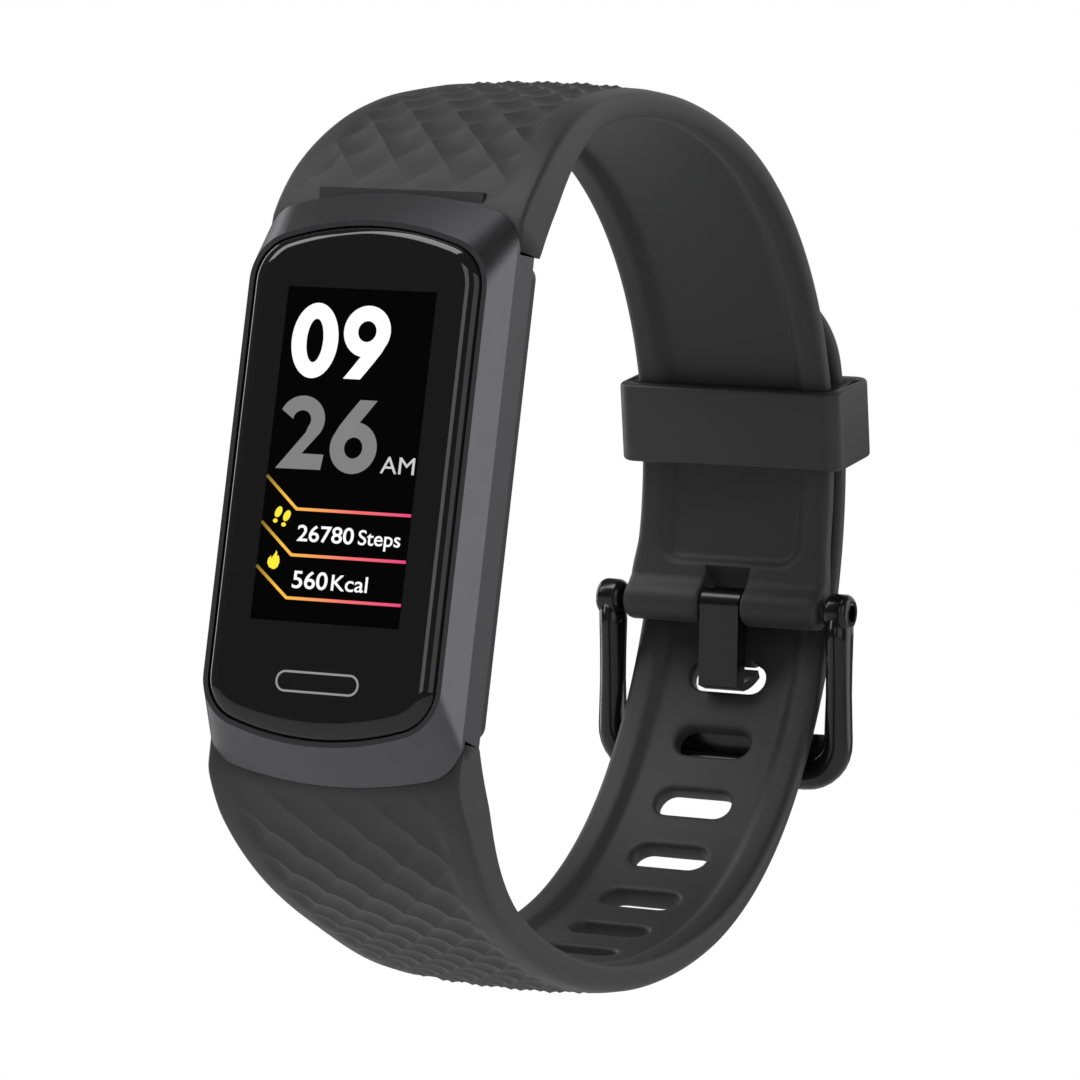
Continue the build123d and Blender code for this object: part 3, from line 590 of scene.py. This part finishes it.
class BandStrapSizes(bpy.types.PropertyGroup):
    dish_depth: size("Dish depth", "Depth of the diamond dishes below their ridges", 0.00040)
    recess_depth: size("Recess depth", "Depth of the trough on the wrist side", 0.0006)
    slot_length: size("Slot length", "Length of an adjustment slot across the strap", 0.0059)
    slot_width: size("Slot width", "Width of an adjustment slot along the strap", 0.0022)
    slot_pitch: size("Slot pitch", "Distance from one adjustment slot to the next", 0.0051)
    silicone: colour("Silicone", "Colour of the straps", (0.030, 0.030, 0.031))
    keeper: colour("Keeper", "Colour of the keeper loop", (0.034, 0.034, 0.035))


class BandCaseSizes(bpy.types.PropertyGroup):
    glass_roll: size("Glass roll", "Width of the rolled border of the cover glass", 0.00135)
    glass_drop: size("Glass drop", "Depth that the border of the glass rolls down", 0.00075)
    metal: colour("Case metal", "Colour of the front frame", (0.115, 0.115, 0.12))
    cover: colour("Back cover", "Colour of the back cover", (0.012, 0.012, 0.013))
    glass: colour("Printed border", "Colour behind the cover glass", (0.0095, 0.0095, 0.0095))
    buckle: colour("Buckle", "Colour of the buckle and its tongue", (0.006, 0.006, 0.0065))


class BandScreenLooks(bpy.types.PropertyGroup):
    hours: colour("Hours", "Colour of the hour digits and readings", (1.0, 1.0, 1.0))
    minutes: colour("Minutes", "Colour of the minute digits", (0.216, 0.216, 0.216))
    rule_start: colour("Rule start", "Colour of the rules at the left", (1.0, 0.56, 0.06))
    rule_end: colour("Rule end", "Colour of the rules at the right", (0.86, 0.06, 0.22))
    icon: colour("Icons", "Colour of the icons", (1.0, 0.84, 0.04))
    stroke: size("Rule width", "Width of the rules between readings", 0.0002)


# ---------------------------------------------------------------- screen
SCREEN_Y = -33.512
GLOW_Y = -33.524


def glowing(name, colour_value, strength=1.0):
    """Lit cells under a polished surface, with a fine grain."""
    material = new_finish(name, (0.0, 0.0, 0.0), 0.08, grain=0.4, relief=0.0002, mottle=0.02)
    shader = material.node_tree.nodes["Principled BSDF"]
    shader.inputs["Emission Strength"].default_value = strength
    shader.inputs["Emission Color"].default_value = (*colour_value, 1.0)
    return material


def flat_piece(bm, name, material, thickness=0.006):
    """Thin raised film from flat faces drawn as X and Z."""
    bmesh.ops.remove_doubles(bm, verts=bm.verts, dist=0.0005)
    bmesh.ops.recalc_face_normals(bm, faces=bm.faces)
    made = bmesh.ops.extrude_face_region(bm, geom=list(bm.faces), use_keep_orig=True)
    lifted = [g for g in made["geom"] if isinstance(g, bmesh.types.BMVert)]
    bmesh.ops.translate(bm, vec=(0, -thickness, 0), verts=lifted)
    return piece_from(bm, name, material, "band", smooth=False)


def ellipse(centre, half_x, half_z, count=48, lean=0.0):
    """Points round an ellipse, sheared by lean as it rises."""
    points = []
    for step in range(count):
        around = 2 * pi * step / count
        dx, dz = half_x * cos(around), half_z * sin(around)
        points.append((centre[0] + dx + lean * dz, GLOW_Y, centre[1] + dz))
    return points


def ring_of(bm, centre, outer, inner, inner_centre=None):
    loft(bm, [ellipse(centre, *outer), ellipse(inner_centre or centre, *inner)])


def shape_of(bm, points):
    """Flat face through points given as X and Z."""
    bmesh.ops.contextual_create(bm, geom=ring_loop(bm, [(x, GLOW_Y, z) for x, z in points]))


def stroke_of(bm, points, width):
    """Flat line of one width through points."""
    for (x0, z0), (x1, z1) in zip(points, points[1:]):
        length = hypot(x1 - x0, z1 - z0)
        nx, nz = -(z1 - z0) / length * width / 2, (x1 - x0) / length * width / 2
        shape_of(bm, [(x0 - nx, z0 - nz), (x1 - nx, z1 - nz), (x1 + nx, z1 + nz), (x0 + nx, z0 + nz)])


def arc_points(centre, radius_x, radius_z, first, last, count=24):
    return [
        (
            centre[0] + radius_x * cos(radians(first + (last - first) * k / count)),
            centre[1] + radius_z * sin(radians(first + (last - first) * k / count)),
        )
        for k in range(count + 1)
    ]


def draw_six(bm):
    """The figure 6 in a box 3.4 wide and 4.8 high about the origin, or a 9 when turned round."""
    bowl = (0.0, -0.72)
    outer, inner = (1.70, 1.68), (0.66, 0.68)
    start = len(bm.verts)
    ring_of(bm, bowl, outer, inner)
    tail = [(-1.58, -0.1)]
    tail += [(-1.2, 0.62), (-0.62, 1.42), (0.14, 2.4), (1.38, 2.4)]
    tail += [(0.30, 0.98), (-0.1, 0.45), (-0.86, -0.2)]
    shape_of(bm, tail)
    bm.verts.ensure_lookup_table()
    return [v for v in bm.verts][start:]


def placed(bm, verts, centre, turn=0.0, scale=(1.0, 1.0)):
    bmesh.ops.translate(bm, vec=(0, -GLOW_Y, 0), verts=verts)
    bmesh.ops.rotate(bm, cent=(0, 0, 0), matrix=Matrix.Rotation(radians(turn), 3, "Y"), verts=verts)
    bmesh.ops.scale(bm, vec=(scale[0], 1, scale[1]), verts=verts)
    bmesh.ops.translate(bm, vec=(centre[0], GLOW_Y, centre[1]), verts=verts)


def word(name, text, left, right, base, height, material, bolder):
    """Line of small lettering between two sides, on its base line and as high as its capitals."""
    curve = bpy.data.curves.new(name, "FONT")
    curve.body = text
    curve.offset = bolder
    drawn = bpy.data.objects.new(name + "_drawn", curve)
    bpy.context.scene.collection.objects.link(drawn)
    bpy.context.view_layer.update()
    mesh = bpy.data.meshes.new_from_object(drawn)
    bpy.data.objects.remove(drawn)
    bm = bmesh.new()
    bm.from_mesh(mesh)
    first, last = min(v.co.x for v in bm.verts), max(v.co.x for v in bm.verts)
    widen, grow = (right - left) / (last - first), height / 0.73
    for vert in bm.verts:
        vert.co = Vector((left + (vert.co.x - first) * widen, GLOW_Y, base + vert.co.y * grow))
    return flat_piece(bm, name, material)


# ---------------------------------------------------------------- operators
class BandOperator(bpy.types.Operator):
    bl_options = {"REGISTER", "UNDO"}


class BAND_OT_case(BandOperator):
    """Finishes the front frame, back cover and everything inside the case"""

    bl_idname = "band.case"
    bl_label = "Case"

    def execute(self, context):
        sizes = context.scene.band_case
        metal = new_finish(
            "satin_gunmetal", tuple(sizes.metal), 0.36, 1.0, grain=0.12, relief=0.0016, mottle=0.05
        )
        cover = new_finish("cover_plastic", tuple(sizes.cover), 0.42, grain=0.2, relief=0.004)
        finishes = {
            "front_frame": metal,
            "back_cover": cover,
        }
        plain = {
            "steel": ((0.55, 0.55, 0.56), 0.3, 1.0),
            "steel_bright": ((0.62, 0.62, 0.63), 0.22, 1.0),
            "spring_steel": ((0.5, 0.5, 0.52), 0.28, 1.0),
            "copper_foil": ((0.72, 0.45, 0.28), 0.35, 1.0),
            "flex_polyimide": ((0.55, 0.27, 0.05), 0.3, 0.0),
            "chassis_plastic": ((0.03, 0.03, 0.03), 0.5, 0.0),
            "circuit_board": ((0.01, 0.06, 0.03), 0.35, 0.0),
            "chip_epoxy": ((0.015, 0.015, 0.015), 0.5, 0.0),
            "crystal_can": ((0.65, 0.65, 0.66), 0.25, 1.0),
            "battery_foil": ((0.7, 0.7, 0.72), 0.3, 1.0),
            "tungsten": ((0.3, 0.3, 0.31), 0.45, 1.0),
            "gasket_rubber": ((0.02, 0.02, 0.02), 0.6, 0.0),
            "sensor_lens": ((0.01, 0.01, 0.012), 0.05, 0.0),
            "led_lens": ((0.55, 0.6, 0.4), 0.15, 0.0),
            "gold_pads": ((0.83, 0.62, 0.28), 0.22, 1.0),
            "magnet_nickel": ((0.6, 0.6, 0.6), 0.18, 1.0),
            "clear_adhesive": ((0.02, 0.02, 0.02), 0.3, 0.0),
            "display_black": ((0.004, 0.004, 0.005), 0.12, 0.0),
            "cover_glass": ((0.005, 0.005, 0.006), 0.05, 0.0),
            "strap_silicone": ((0.03, 0.03, 0.031), 0.55, 0.0),
            "keeper_silicone": ((0.034, 0.034, 0.035), 0.5, 0.0),
            "black_buckle": (tuple(sizes.buckle), 0.24, 0.0),
            "satin_gunmetal": (tuple(sizes.metal), 0.36, 1.0),
            "black_cover_plastic": (tuple(sizes.cover), 0.42, 0.0),
        }
        slots = {part["node"]: part["material_slot"] for part in frame["record"]["subparts"]}
        made = {}
        for node in frame["nodes"]:
            slot = slots[node]
            if node in finishes:
                paint_node(node, finishes[node])
                continue
            if slot not in made:
                tint, roughness, metallic = plain[slot]
                made[slot] = new_finish("inside_" + slot, tint, roughness, metallic, grain=0.15, relief=0.002)
            paint_node(node, made[slot])
        return {"FINISHED"}


class BAND_OT_glass(BandOperator):
    """Adds the cover glass with its rolled border and the touch key's outline"""

    bl_idname = "band.glass"
    bl_label = "Cover glass"

    def execute(self, context):
        sizes = context.scene.band_case
        roll, drop = sizes.glass_roll / MM, sizes.glass_drop / MM
        polish = new_finish("cover_glass", tuple(sizes.glass), 0.045, grain=3.0, relief=0.0002, mottle=0.02)
        shader = polish.node_tree.nodes["Principled BSDF"]
        shader.inputs["IOR"].default_value = 1.5
        rings = [flat_ring(bowed_outline(8.05, 16.47, 20.0, 2.75), -32.62)]
        rings.append(flat_ring(bowed_outline(8.25, 16.67, 20.0, 2.95), -32.72))
        for step in range(13):
            turn = radians(90 * step / 12)
            inset = roll * (1 - cos(turn))
            corner = max(2.95 - 0.75 * inset, 1.2)
            outline = bowed_outline(8.25 - inset, 16.67 - inset, 20.0, corner)
            rings.append(flat_ring(outline, -33.5 + drop * (1 - sin(turn))))
        bm = bmesh.new()
        loft(bm, rings, cap_first=True, cap_last=True)
        piece_from(bm, "glass_lens", polish, "band", stands_for=["cover_glass"])
        key_line = glowing("key_line", (0.30, 0.30, 0.30), 1.0)
        bm = bmesh.new()
        outline = [(x, z - 13.02) for x, z in round_box(3.02, 0.70, 0.69, 10)]
        inner = [(x, z - 13.02) for x, z in round_box(2.88, 0.56, 0.55, 10)]
        loft(bm, [flat_ring(outline, GLOW_Y), flat_ring(inner, GLOW_Y)])
        flat_piece(bm, "touch_key_outline", key_line)
        return {"FINISHED"}


class BAND_OT_screen(BandOperator):
    """Adds the lit screen: time, readings, rules and icons"""

    bl_idname = "band.screen"
    bl_label = "Screen"

    def execute(self, context):
        looks = context.scene.band_screen
        dark = new_finish("screen_dark", (0.0, 0.0, 0.0), 0.05, grain=0.4, relief=0.0001, mottle=0.02)
        dark.node_tree.nodes["Principled BSDF"].inputs["Specular IOR Level"].default_value = 0.2
        bm = bmesh.new()
        made = bmesh.ops.create_grid(bm, x_segments=1, y_segments=1, size=0.5)
        bmesh.ops.rotate(bm, cent=(0, 0, 0), matrix=Matrix.Rotation(pi / 2, 3, "X"), verts=made["verts"])
        bmesh.ops.scale(bm, vec=(10.8, 1, 21.7), verts=made["verts"])
        bmesh.ops.translate(bm, vec=(0, SCREEN_Y + 0.006, 1.65), verts=made["verts"])
        flat_piece(bm, "screen_area", dark)

        white = glowing("lit_white", tuple(looks.hours), 1.0)
        grey = glowing("lit_grey", tuple(looks.minutes), 1.0)
        yellow = glowing("lit_yellow", tuple(looks.icon), 1.0)

        bm = bmesh.new()
        ring_of(bm, (-3.02, 9.02), (1.70, 2.46), (0.60, 1.42))
        placed(bm, draw_six(bm), (0.72, 9.04), turn=180.0)
        flat_piece(bm, "hour_digits", white)
        bm = bmesh.new()
        placed(bm, draw_six(bm), (0.66, 2.92))
        hook = arc_points((-3.28, 3.86), 1.66, 1.55, 158, -32, 28)
        hook += [(-3.05, 1.66), (-1.44, 1.66), (-1.56, 0.66), (-4.85, 0.62)]
        hook += [(-2.92, 3.02)]
        hook += arc_points((-3.28, 3.84), 0.66, 0.62, -38, 178, 14)
        shape_of(bm, hook)
        flat_piece(bm, "minute_digits", grey)
        word("half_day", "AM", 2.78, 5.23, 0.69, 1.16, glowing("lit_pale", (0.62, 0.62, 0.62)), 0.0)
        word("steps_count", "26780", -2.67, 1.44, -3.98, 1.08, white, 0.012)
        word("steps_word", "Steps", 1.78, 4.83, -3.98, 1.0, white, 0.008)
        word("energy_count", "560", -2.64, -0.08, -7.02, 1.16, white, 0.012)
        word("energy_word", "Kcal", 0.21, 2.83, -7.02, 1.06, white, 0.008)

        rule = glowing("lit_rule", tuple(looks.rule_end))
        nodes, links = rule.node_tree.nodes, rule.node_tree.links
        place = nodes.new("ShaderNodeTexCoord")
        split = nodes.new("ShaderNodeSeparateXYZ")
        ramp = nodes.new("ShaderNodeValToRGB")
        reach = nodes.new("ShaderNodeMapRange")
        reach.inputs["From Min"].default_value = -0.0054
        reach.inputs["From Max"].default_value = 0.0054
        ramp.color_ramp.elements[0].color = (0.18, 0.13, 0.015, 1)
        ramp.color_ramp.elements[1].color = (*looks.rule_end, 1)
        warm = ramp.color_ramp.elements.new(0.16)
        warm.color = (*looks.rule_start, 1)
        mid = ramp.color_ramp.elements.new(0.62)
        mid.color = (0.94, 0.17, 0.16, 1)
        links.new(place.outputs["Object"], split.inputs["Vector"])
        links.new(split.outputs["X"], reach.inputs["Value"])
        links.new(reach.outputs["Result"], ramp.inputs["Fac"])
        links.new(ramp.outputs["Color"], nodes["Principled BSDF"].inputs["Emission Color"])
        bm = bmesh.new()
        for top, knee in ((0.12, -1.94), (-2.88, -4.92), (-5.74, -7.70)):
            stroke_of(bm, [(-5.38, top), (-2.93, knee)], looks.stroke / MM)
            stroke_of(bm, [(-2.97, knee), (5.38, knee + 0.02)], looks.stroke / MM)
        flat_piece(bm, "reading_rules", rule)

        bm = bmesh.new()
        for x, z in ((-4.22, -2.2), (-3.58, -2.42)):
            loft(bm, [ellipse((x, z), 0.25, 0.36, 20, 0.25), ellipse((x, z), 0.01, 0.01, 20)])
            heel = (x - 0.17, z - 0.58)
            loft(bm, [ellipse(heel, 0.17, 0.14, 16), ellipse(heel, 0.01, 0.01, 16)])
        flame = [(-4.16, -5.92), (-4.46, -5.80), (-4.62, -5.52), (-4.58, -5.24), (-4.40, -5.04)]
        flame += [(-4.36, -5.24), (-4.26, -5.08), (-4.12, -4.86), (-4.06, -4.68), (-3.96, -4.86)]
        flame += [(-3.98, -5.06), (-3.86, -5.0), (-3.76, -5.22), (-3.74, -5.48)]
        flame += [(-3.84, -5.76), (-4.02, -5.90)]
        shape_of(bm, flame)
        flat_piece(bm, "reading_icons", yellow)
        return {"FINISHED"}


class BAND_OT_straps(BandOperator):
    """Adds the upper and lower straps, with their diamond skin, recess, notch and slots"""

    bl_idname = "band.straps"
    bl_label = "Straps"

    def execute(self, context):
        sizes = context.scene.band_straps
        rubber = new_finish(
            "strap_silicone", tuple(sizes.silicone), 0.56, grain=0.09, relief=0.0022, mottle=0.05
        )
        shader = rubber.node_tree.nodes["Principled BSDF"]
        shader.inputs["Sheen Weight"].default_value = 0.06
        shader.inputs["Sheen Roughness"].default_value = 0.5
        upper = StrapShape(StrapLine(UPPER_START, UPPER_HEADING, UPPER_ARCS), UPPER_DEPTHS, 1, sizes)
        lower = StrapShape(StrapLine(LOWER_START, LOWER_HEADING, LOWER_ARCS), LOWER_DEPTHS, -1, sizes)
        make_strap("strap_short", upper, rubber, ["upper_strap"])
        make_strap("strap_long", lower, rubber, ["lower_strap"])
        make_tab("strap_short_root", "upper_strap", 1, rubber)
        make_tab("strap_long_root", "lower_strap", -1, rubber)
        return {"FINISHED"}


class BAND_OT_keeper(BandOperator):
    """Adds the keeper loop that holds the tail down"""

    bl_idname = "band.keeper"
    bl_label = "Keeper"

    def execute(self, context):
        sizes = context.scene.band_straps
        rubber = new_finish(
            "keeper_silicone", tuple(sizes.keeper), 0.5, grain=0.09, relief=0.002, mottle=0.05
        )
        middle, turn = 28.125, radians(20.9)
        out = Vector((0, cos(turn), sin(turn)))
        rise = Vector((0, -sin(turn), cos(turn)))
        centre = Vector((0, *BACK_CENTRE)) + out * middle

        def level(height, inset, inside):
            half_x, half_out, corner = (7.8, 2.17, 0.35) if inside else (8.9, 3.37, 1.3)
            push = inset if inside else -inset
            points = round_box(half_x + push, half_out + push, max(corner + push, 0.15), 8)
            return [centre + Vector((x, 0, 0)) + out * y + rise * height for x, y in points]

        lip, half = 0.28, 2.9
        rings = []
        for inside, order in ((False, 1), (True, -1)):
            turns = [radians(a) for a in (90, 68, 45, 22, 0)]
            down = [(-half + lip * (1 - sin(turn)), lip * (1 - cos(turn))) for turn in turns]
            up = [(-h, i) for h, i in reversed(down)]
            for height, inset in (down + up)[::order]:
                rings.append(level(height, inset, inside))
        bm = bmesh.new()
        loft(bm, rings, closed=True)
        piece_from(bm, "keeper_band", rubber, "keeper", stands_for=["keeper_loop"])
        return {"FINISHED"}


class BAND_OT_buckle(BandOperator):
    """Adds the buckle's round frame and finishes its tongue"""

    bl_idname = "band.buckle"
    bl_label = "Buckle"

    def execute(self, context):
        sizes = context.scene.band_case
        gloss = new_finish("buckle_black", tuple(sizes.buckle), 0.2, grain=0.15, relief=0.0006, mottle=0.05)
        paint_node("buckle_tongue", gloss)
        tilt = radians(BUCKLE_TILT)
        up = Vector((0, -sin(tilt), cos(tilt)))
        out = Vector((0, cos(tilt), sin(tilt)))
        pivot = Vector((0, *PIVOT))
        middle = ARM_MIDDLE
        corner = BUCKLE_CORNER
        path = [(middle, z) for z in (-0.3, -2.0, -4.0, -6.0, corner - BUCKLE_REACH)]
        for step in range(1, 9):
            turn = radians(90 * step / 8)
            path.append((middle - corner * (1 - cos(turn)), corner - BUCKLE_REACH - corner * sin(turn)))
        path += [(4.0, -BUCKLE_REACH), (1.5, -BUCKLE_REACH)]
        path += [(-x, z) for x, z in reversed(path)]
        bm = bmesh.new()
        rings = []
        for index, (x, z) in enumerate(path):
            before, after = path[max(index - 1, 0)], path[min(index + 1, len(path) - 1)]
            heading = Vector((after[0] - before[0], after[1] - before[1])).normalized()
            side = Vector((1, 0, 0)) * -heading.y + up * heading.x
            low = ease(-z, 7.0, BUCKLE_REACH)
            high = 1 - ease(-z, 0.0, 5.5)
            half_wide, half_thick = 0.93 + 0.25 * low + 0.05 * high, 1.1 + 0.24 * high
            centre = pivot + Vector((x, 0, 0)) + up * z
            rings.append(
                [
                    centre + side * (half_wide * cos(turn)) + out * (half_thick * sin(turn))
                    for turn in (2 * pi * step / 24 for step in range(24))
                ]
            )
        loft(bm, rings, cap_first=True, cap_last=True)
        plate = round_box(BUCKLE_PLATE / 2, 0.5, 0.45, 5)
        ends = [(x, 1 - 0.5 * max(0.0, abs(x) - 7.9)) for x in (-8.6, -8.2, -7.9, 7.9, 8.2, 8.6)]
        level = (BUCKLE_PLATE / 2 + 0.3 - BUCKLE_REACH, 0.58)
        loft(
            bm,
            [
                [
                    pivot + Vector((x, 0, 0)) + up * (level[0] + a * grow) + out * (level[1] + b * grow)
                    for a, b in plate
                ]
                for x, grow in ends
            ],
            cap_first=True,
            cap_last=True,
        )
        for end in (-1, 1):
            profile = [(LOBE_OUTER - 0.35, 0.02), (LOBE_OUTER - 0.35, 0.5)]
            profile += [(LOBE_OUTER - 0.06, 0.52), (LOBE_OUTER, 0.62)]
            for turn in (radians(a) for a in range(0, 91, 15)):
                profile.append((LOBE_OUTER - 0.55 * (1 - cos(turn)), 0.84 + 0.54 * sin(turn)))
            for turn in (radians(a) for a in range(0, 91, 15)):
                profile.append((LOBE_INNER + 0.55 * (1 - sin(turn)), 0.84 + 0.54 * cos(turn)))
            profile += [(LOBE_INNER, 0.52), (LOBE_INNER + 0.12, 0.02)]
            loft(
                bm,
                [
                    [
                        pivot + Vector((end * x, r * cos(2 * pi * step / 36), r * sin(2 * pi * step / 36)))
                        for step in range(36)
                    ]
                    for x, r in profile
                ],
                cap_first=True,
                cap_last=True,
            )
        piece_from(bm, "buckle_loop", gloss, "buckle_frame", stands_for=["buckle_frame"])
        return {"FINISHED"}


class BAND_OT_stage(BandOperator):
    """Adds the pale floor, the soft lights and the camera"""

    bl_idname = "band.stage"
    bl_label = "Stage"

    def execute(self, context):
        scene = context.scene
        scene.view_settings.view_transform = "Standard"
        world = bpy.data.worlds.new("studio")
        scene.world = world
        world.use_nodes = True
        nodes, links = world.node_tree.nodes, world.node_tree.links
        seen, lit = nodes["Background"], nodes.new("ShaderNodeBackground")
        seen.inputs["Color"].default_value = (1, 1, 1, 1)
        seen.inputs["Strength"].default_value = 1.0
        lit.inputs["Color"].default_value = (1, 1, 1, 1)
        lit.inputs["Strength"].default_value = 0.11
        path = nodes.new("ShaderNodeLightPath")
        mix = nodes.new("ShaderNodeMixShader")
        links.new(path.outputs["Is Camera Ray"], mix.inputs["Fac"])
        links.new(lit.outputs["Background"], mix.inputs[1])
        links.new(seen.outputs["Background"], mix.inputs[2])
        links.new(mix.outputs["Shader"], nodes["World Output"].inputs["Surface"])

        bm = bmesh.new()
        bmesh.ops.create_circle(bm, cap_ends=True, segments=96, radius=0.6)
        bmesh.ops.translate(bm, vec=(0, 0, -0.078), verts=bm.verts)
        mesh = bpy.data.meshes.new("floor")
        bm.to_mesh(mesh)
        bm.free()
        floor = bpy.data.objects.new("floor", mesh)
        scene.collection.objects.link(floor)
        pale = new_finish("floor_pale", (0.85, 0.85, 0.85), 0.7, grain=2.0, relief=0.01, mottle=0.01)
        mesh.materials.append(pale)

        for name, place, aim, wide, high, power in (
            ("top_soft", (-0.12, -0.22, 0.46), (0, 0, 0.01), 0.26, 0.26, 1.0),
            ("left_strip", (-0.45, 0.10, 0.05), (0, -0.02, 0), 0.16, 0.60, 1.1),
            ("front_strip", (0.02, -0.62, 0.16), (0, 0, 0), 0.14, 0.36, 0.28),
            ("right_soft", (0.42, 0.30, 0.16), (0, 0, 0), 0.34, 0.50, 0.8),
            ("back_soft", (0.0, 0.50, 0.30), (0, 0.02, 0), 0.50, 0.40, 0.5),
            ("front_right_soft", (0.52, -0.42, 0.18), (0, 0.01, 0), 0.46, 0.46, 0.62),
            ("left_key", (-0.40, -0.34, 0.34), (0, -0.01, 0), 0.12, 0.30, 0.55),
        ):
            data = bpy.data.lights.new(name, "AREA")
            data.shape = "RECTANGLE"
            data.size, data.size_y = wide, high
            data.energy = power
            lamp = bpy.data.objects.new(name, data)
            lamp.location = place
            lamp.rotation_euler = (Vector(aim) - Vector(place)).to_track_quat("-Z", "Y").to_euler()
            scene.collection.objects.link(lamp)

        data = bpy.data.cameras.new("camera")
        data.lens = 192.9
        data.sensor_width = 36.0
        camera = bpy.data.objects.new("camera", data)
        scene.collection.objects.link(camera)
        right = Vector((0.89388, 0.43436, 0.11095))
        up = Vector((-0.05894, -0.13150, 0.98957))
        back = Vector((0.44443, -0.89109, -0.09194))
        turned = Matrix((right, up, back)).transposed().to_4x4()
        camera.matrix_world = Matrix.Translation((0.1763, -0.3576, -0.03635)) @ turned
        scene.camera = camera
        return {"FINISHED"}


class BAND_PT_panel(bpy.types.Panel):
    """Lists the pieces of the band in build order"""

    bl_label = "Fitness Tracker Band"
    bl_idname = "BAND_PT_panel"
    bl_space_type = "VIEW_3D"
    bl_region_type = "UI"
    bl_category = "Band"

    def draw(self, context):
        for group in (context.scene.band_straps, context.scene.band_case, context.scene.band_screen):
            for name in group.__annotations__:
                self.layout.prop(group, name)
        for step in OPERATORS:
            self.layout.operator(step.bl_idname)


GROUPS = (
    ("band_straps", BandStrapSizes),
    ("band_case", BandCaseSizes),
    ("band_screen", BandScreenLooks),
)
OPERATORS = (
    BAND_OT_case,
    BAND_OT_glass,
    BAND_OT_screen,
    BAND_OT_straps,
    BAND_OT_keeper,
    BAND_OT_buckle,
    BAND_OT_stage,
)


def register():
    for name, group in GROUPS:
        bpy.utils.register_class(group)
        setattr(bpy.types.Scene, name, bpy.props.PointerProperty(type=group))
    for step in (*OPERATORS, BAND_PT_panel):
        bpy.utils.register_class(step)


def unregister():
    for step in (BAND_PT_panel, *reversed(OPERATORS)):
        bpy.utils.unregister_class(step)
    for name, group in reversed(GROUPS):
        delattr(bpy.types.Scene, name)
        bpy.utils.unregister_class(group)


def main():
    register()
    for step in OPERATORS:
        family, name = step.bl_idname.split(".")
        getattr(getattr(bpy.ops, family), name)()


if __name__ == "__main__":
    main()
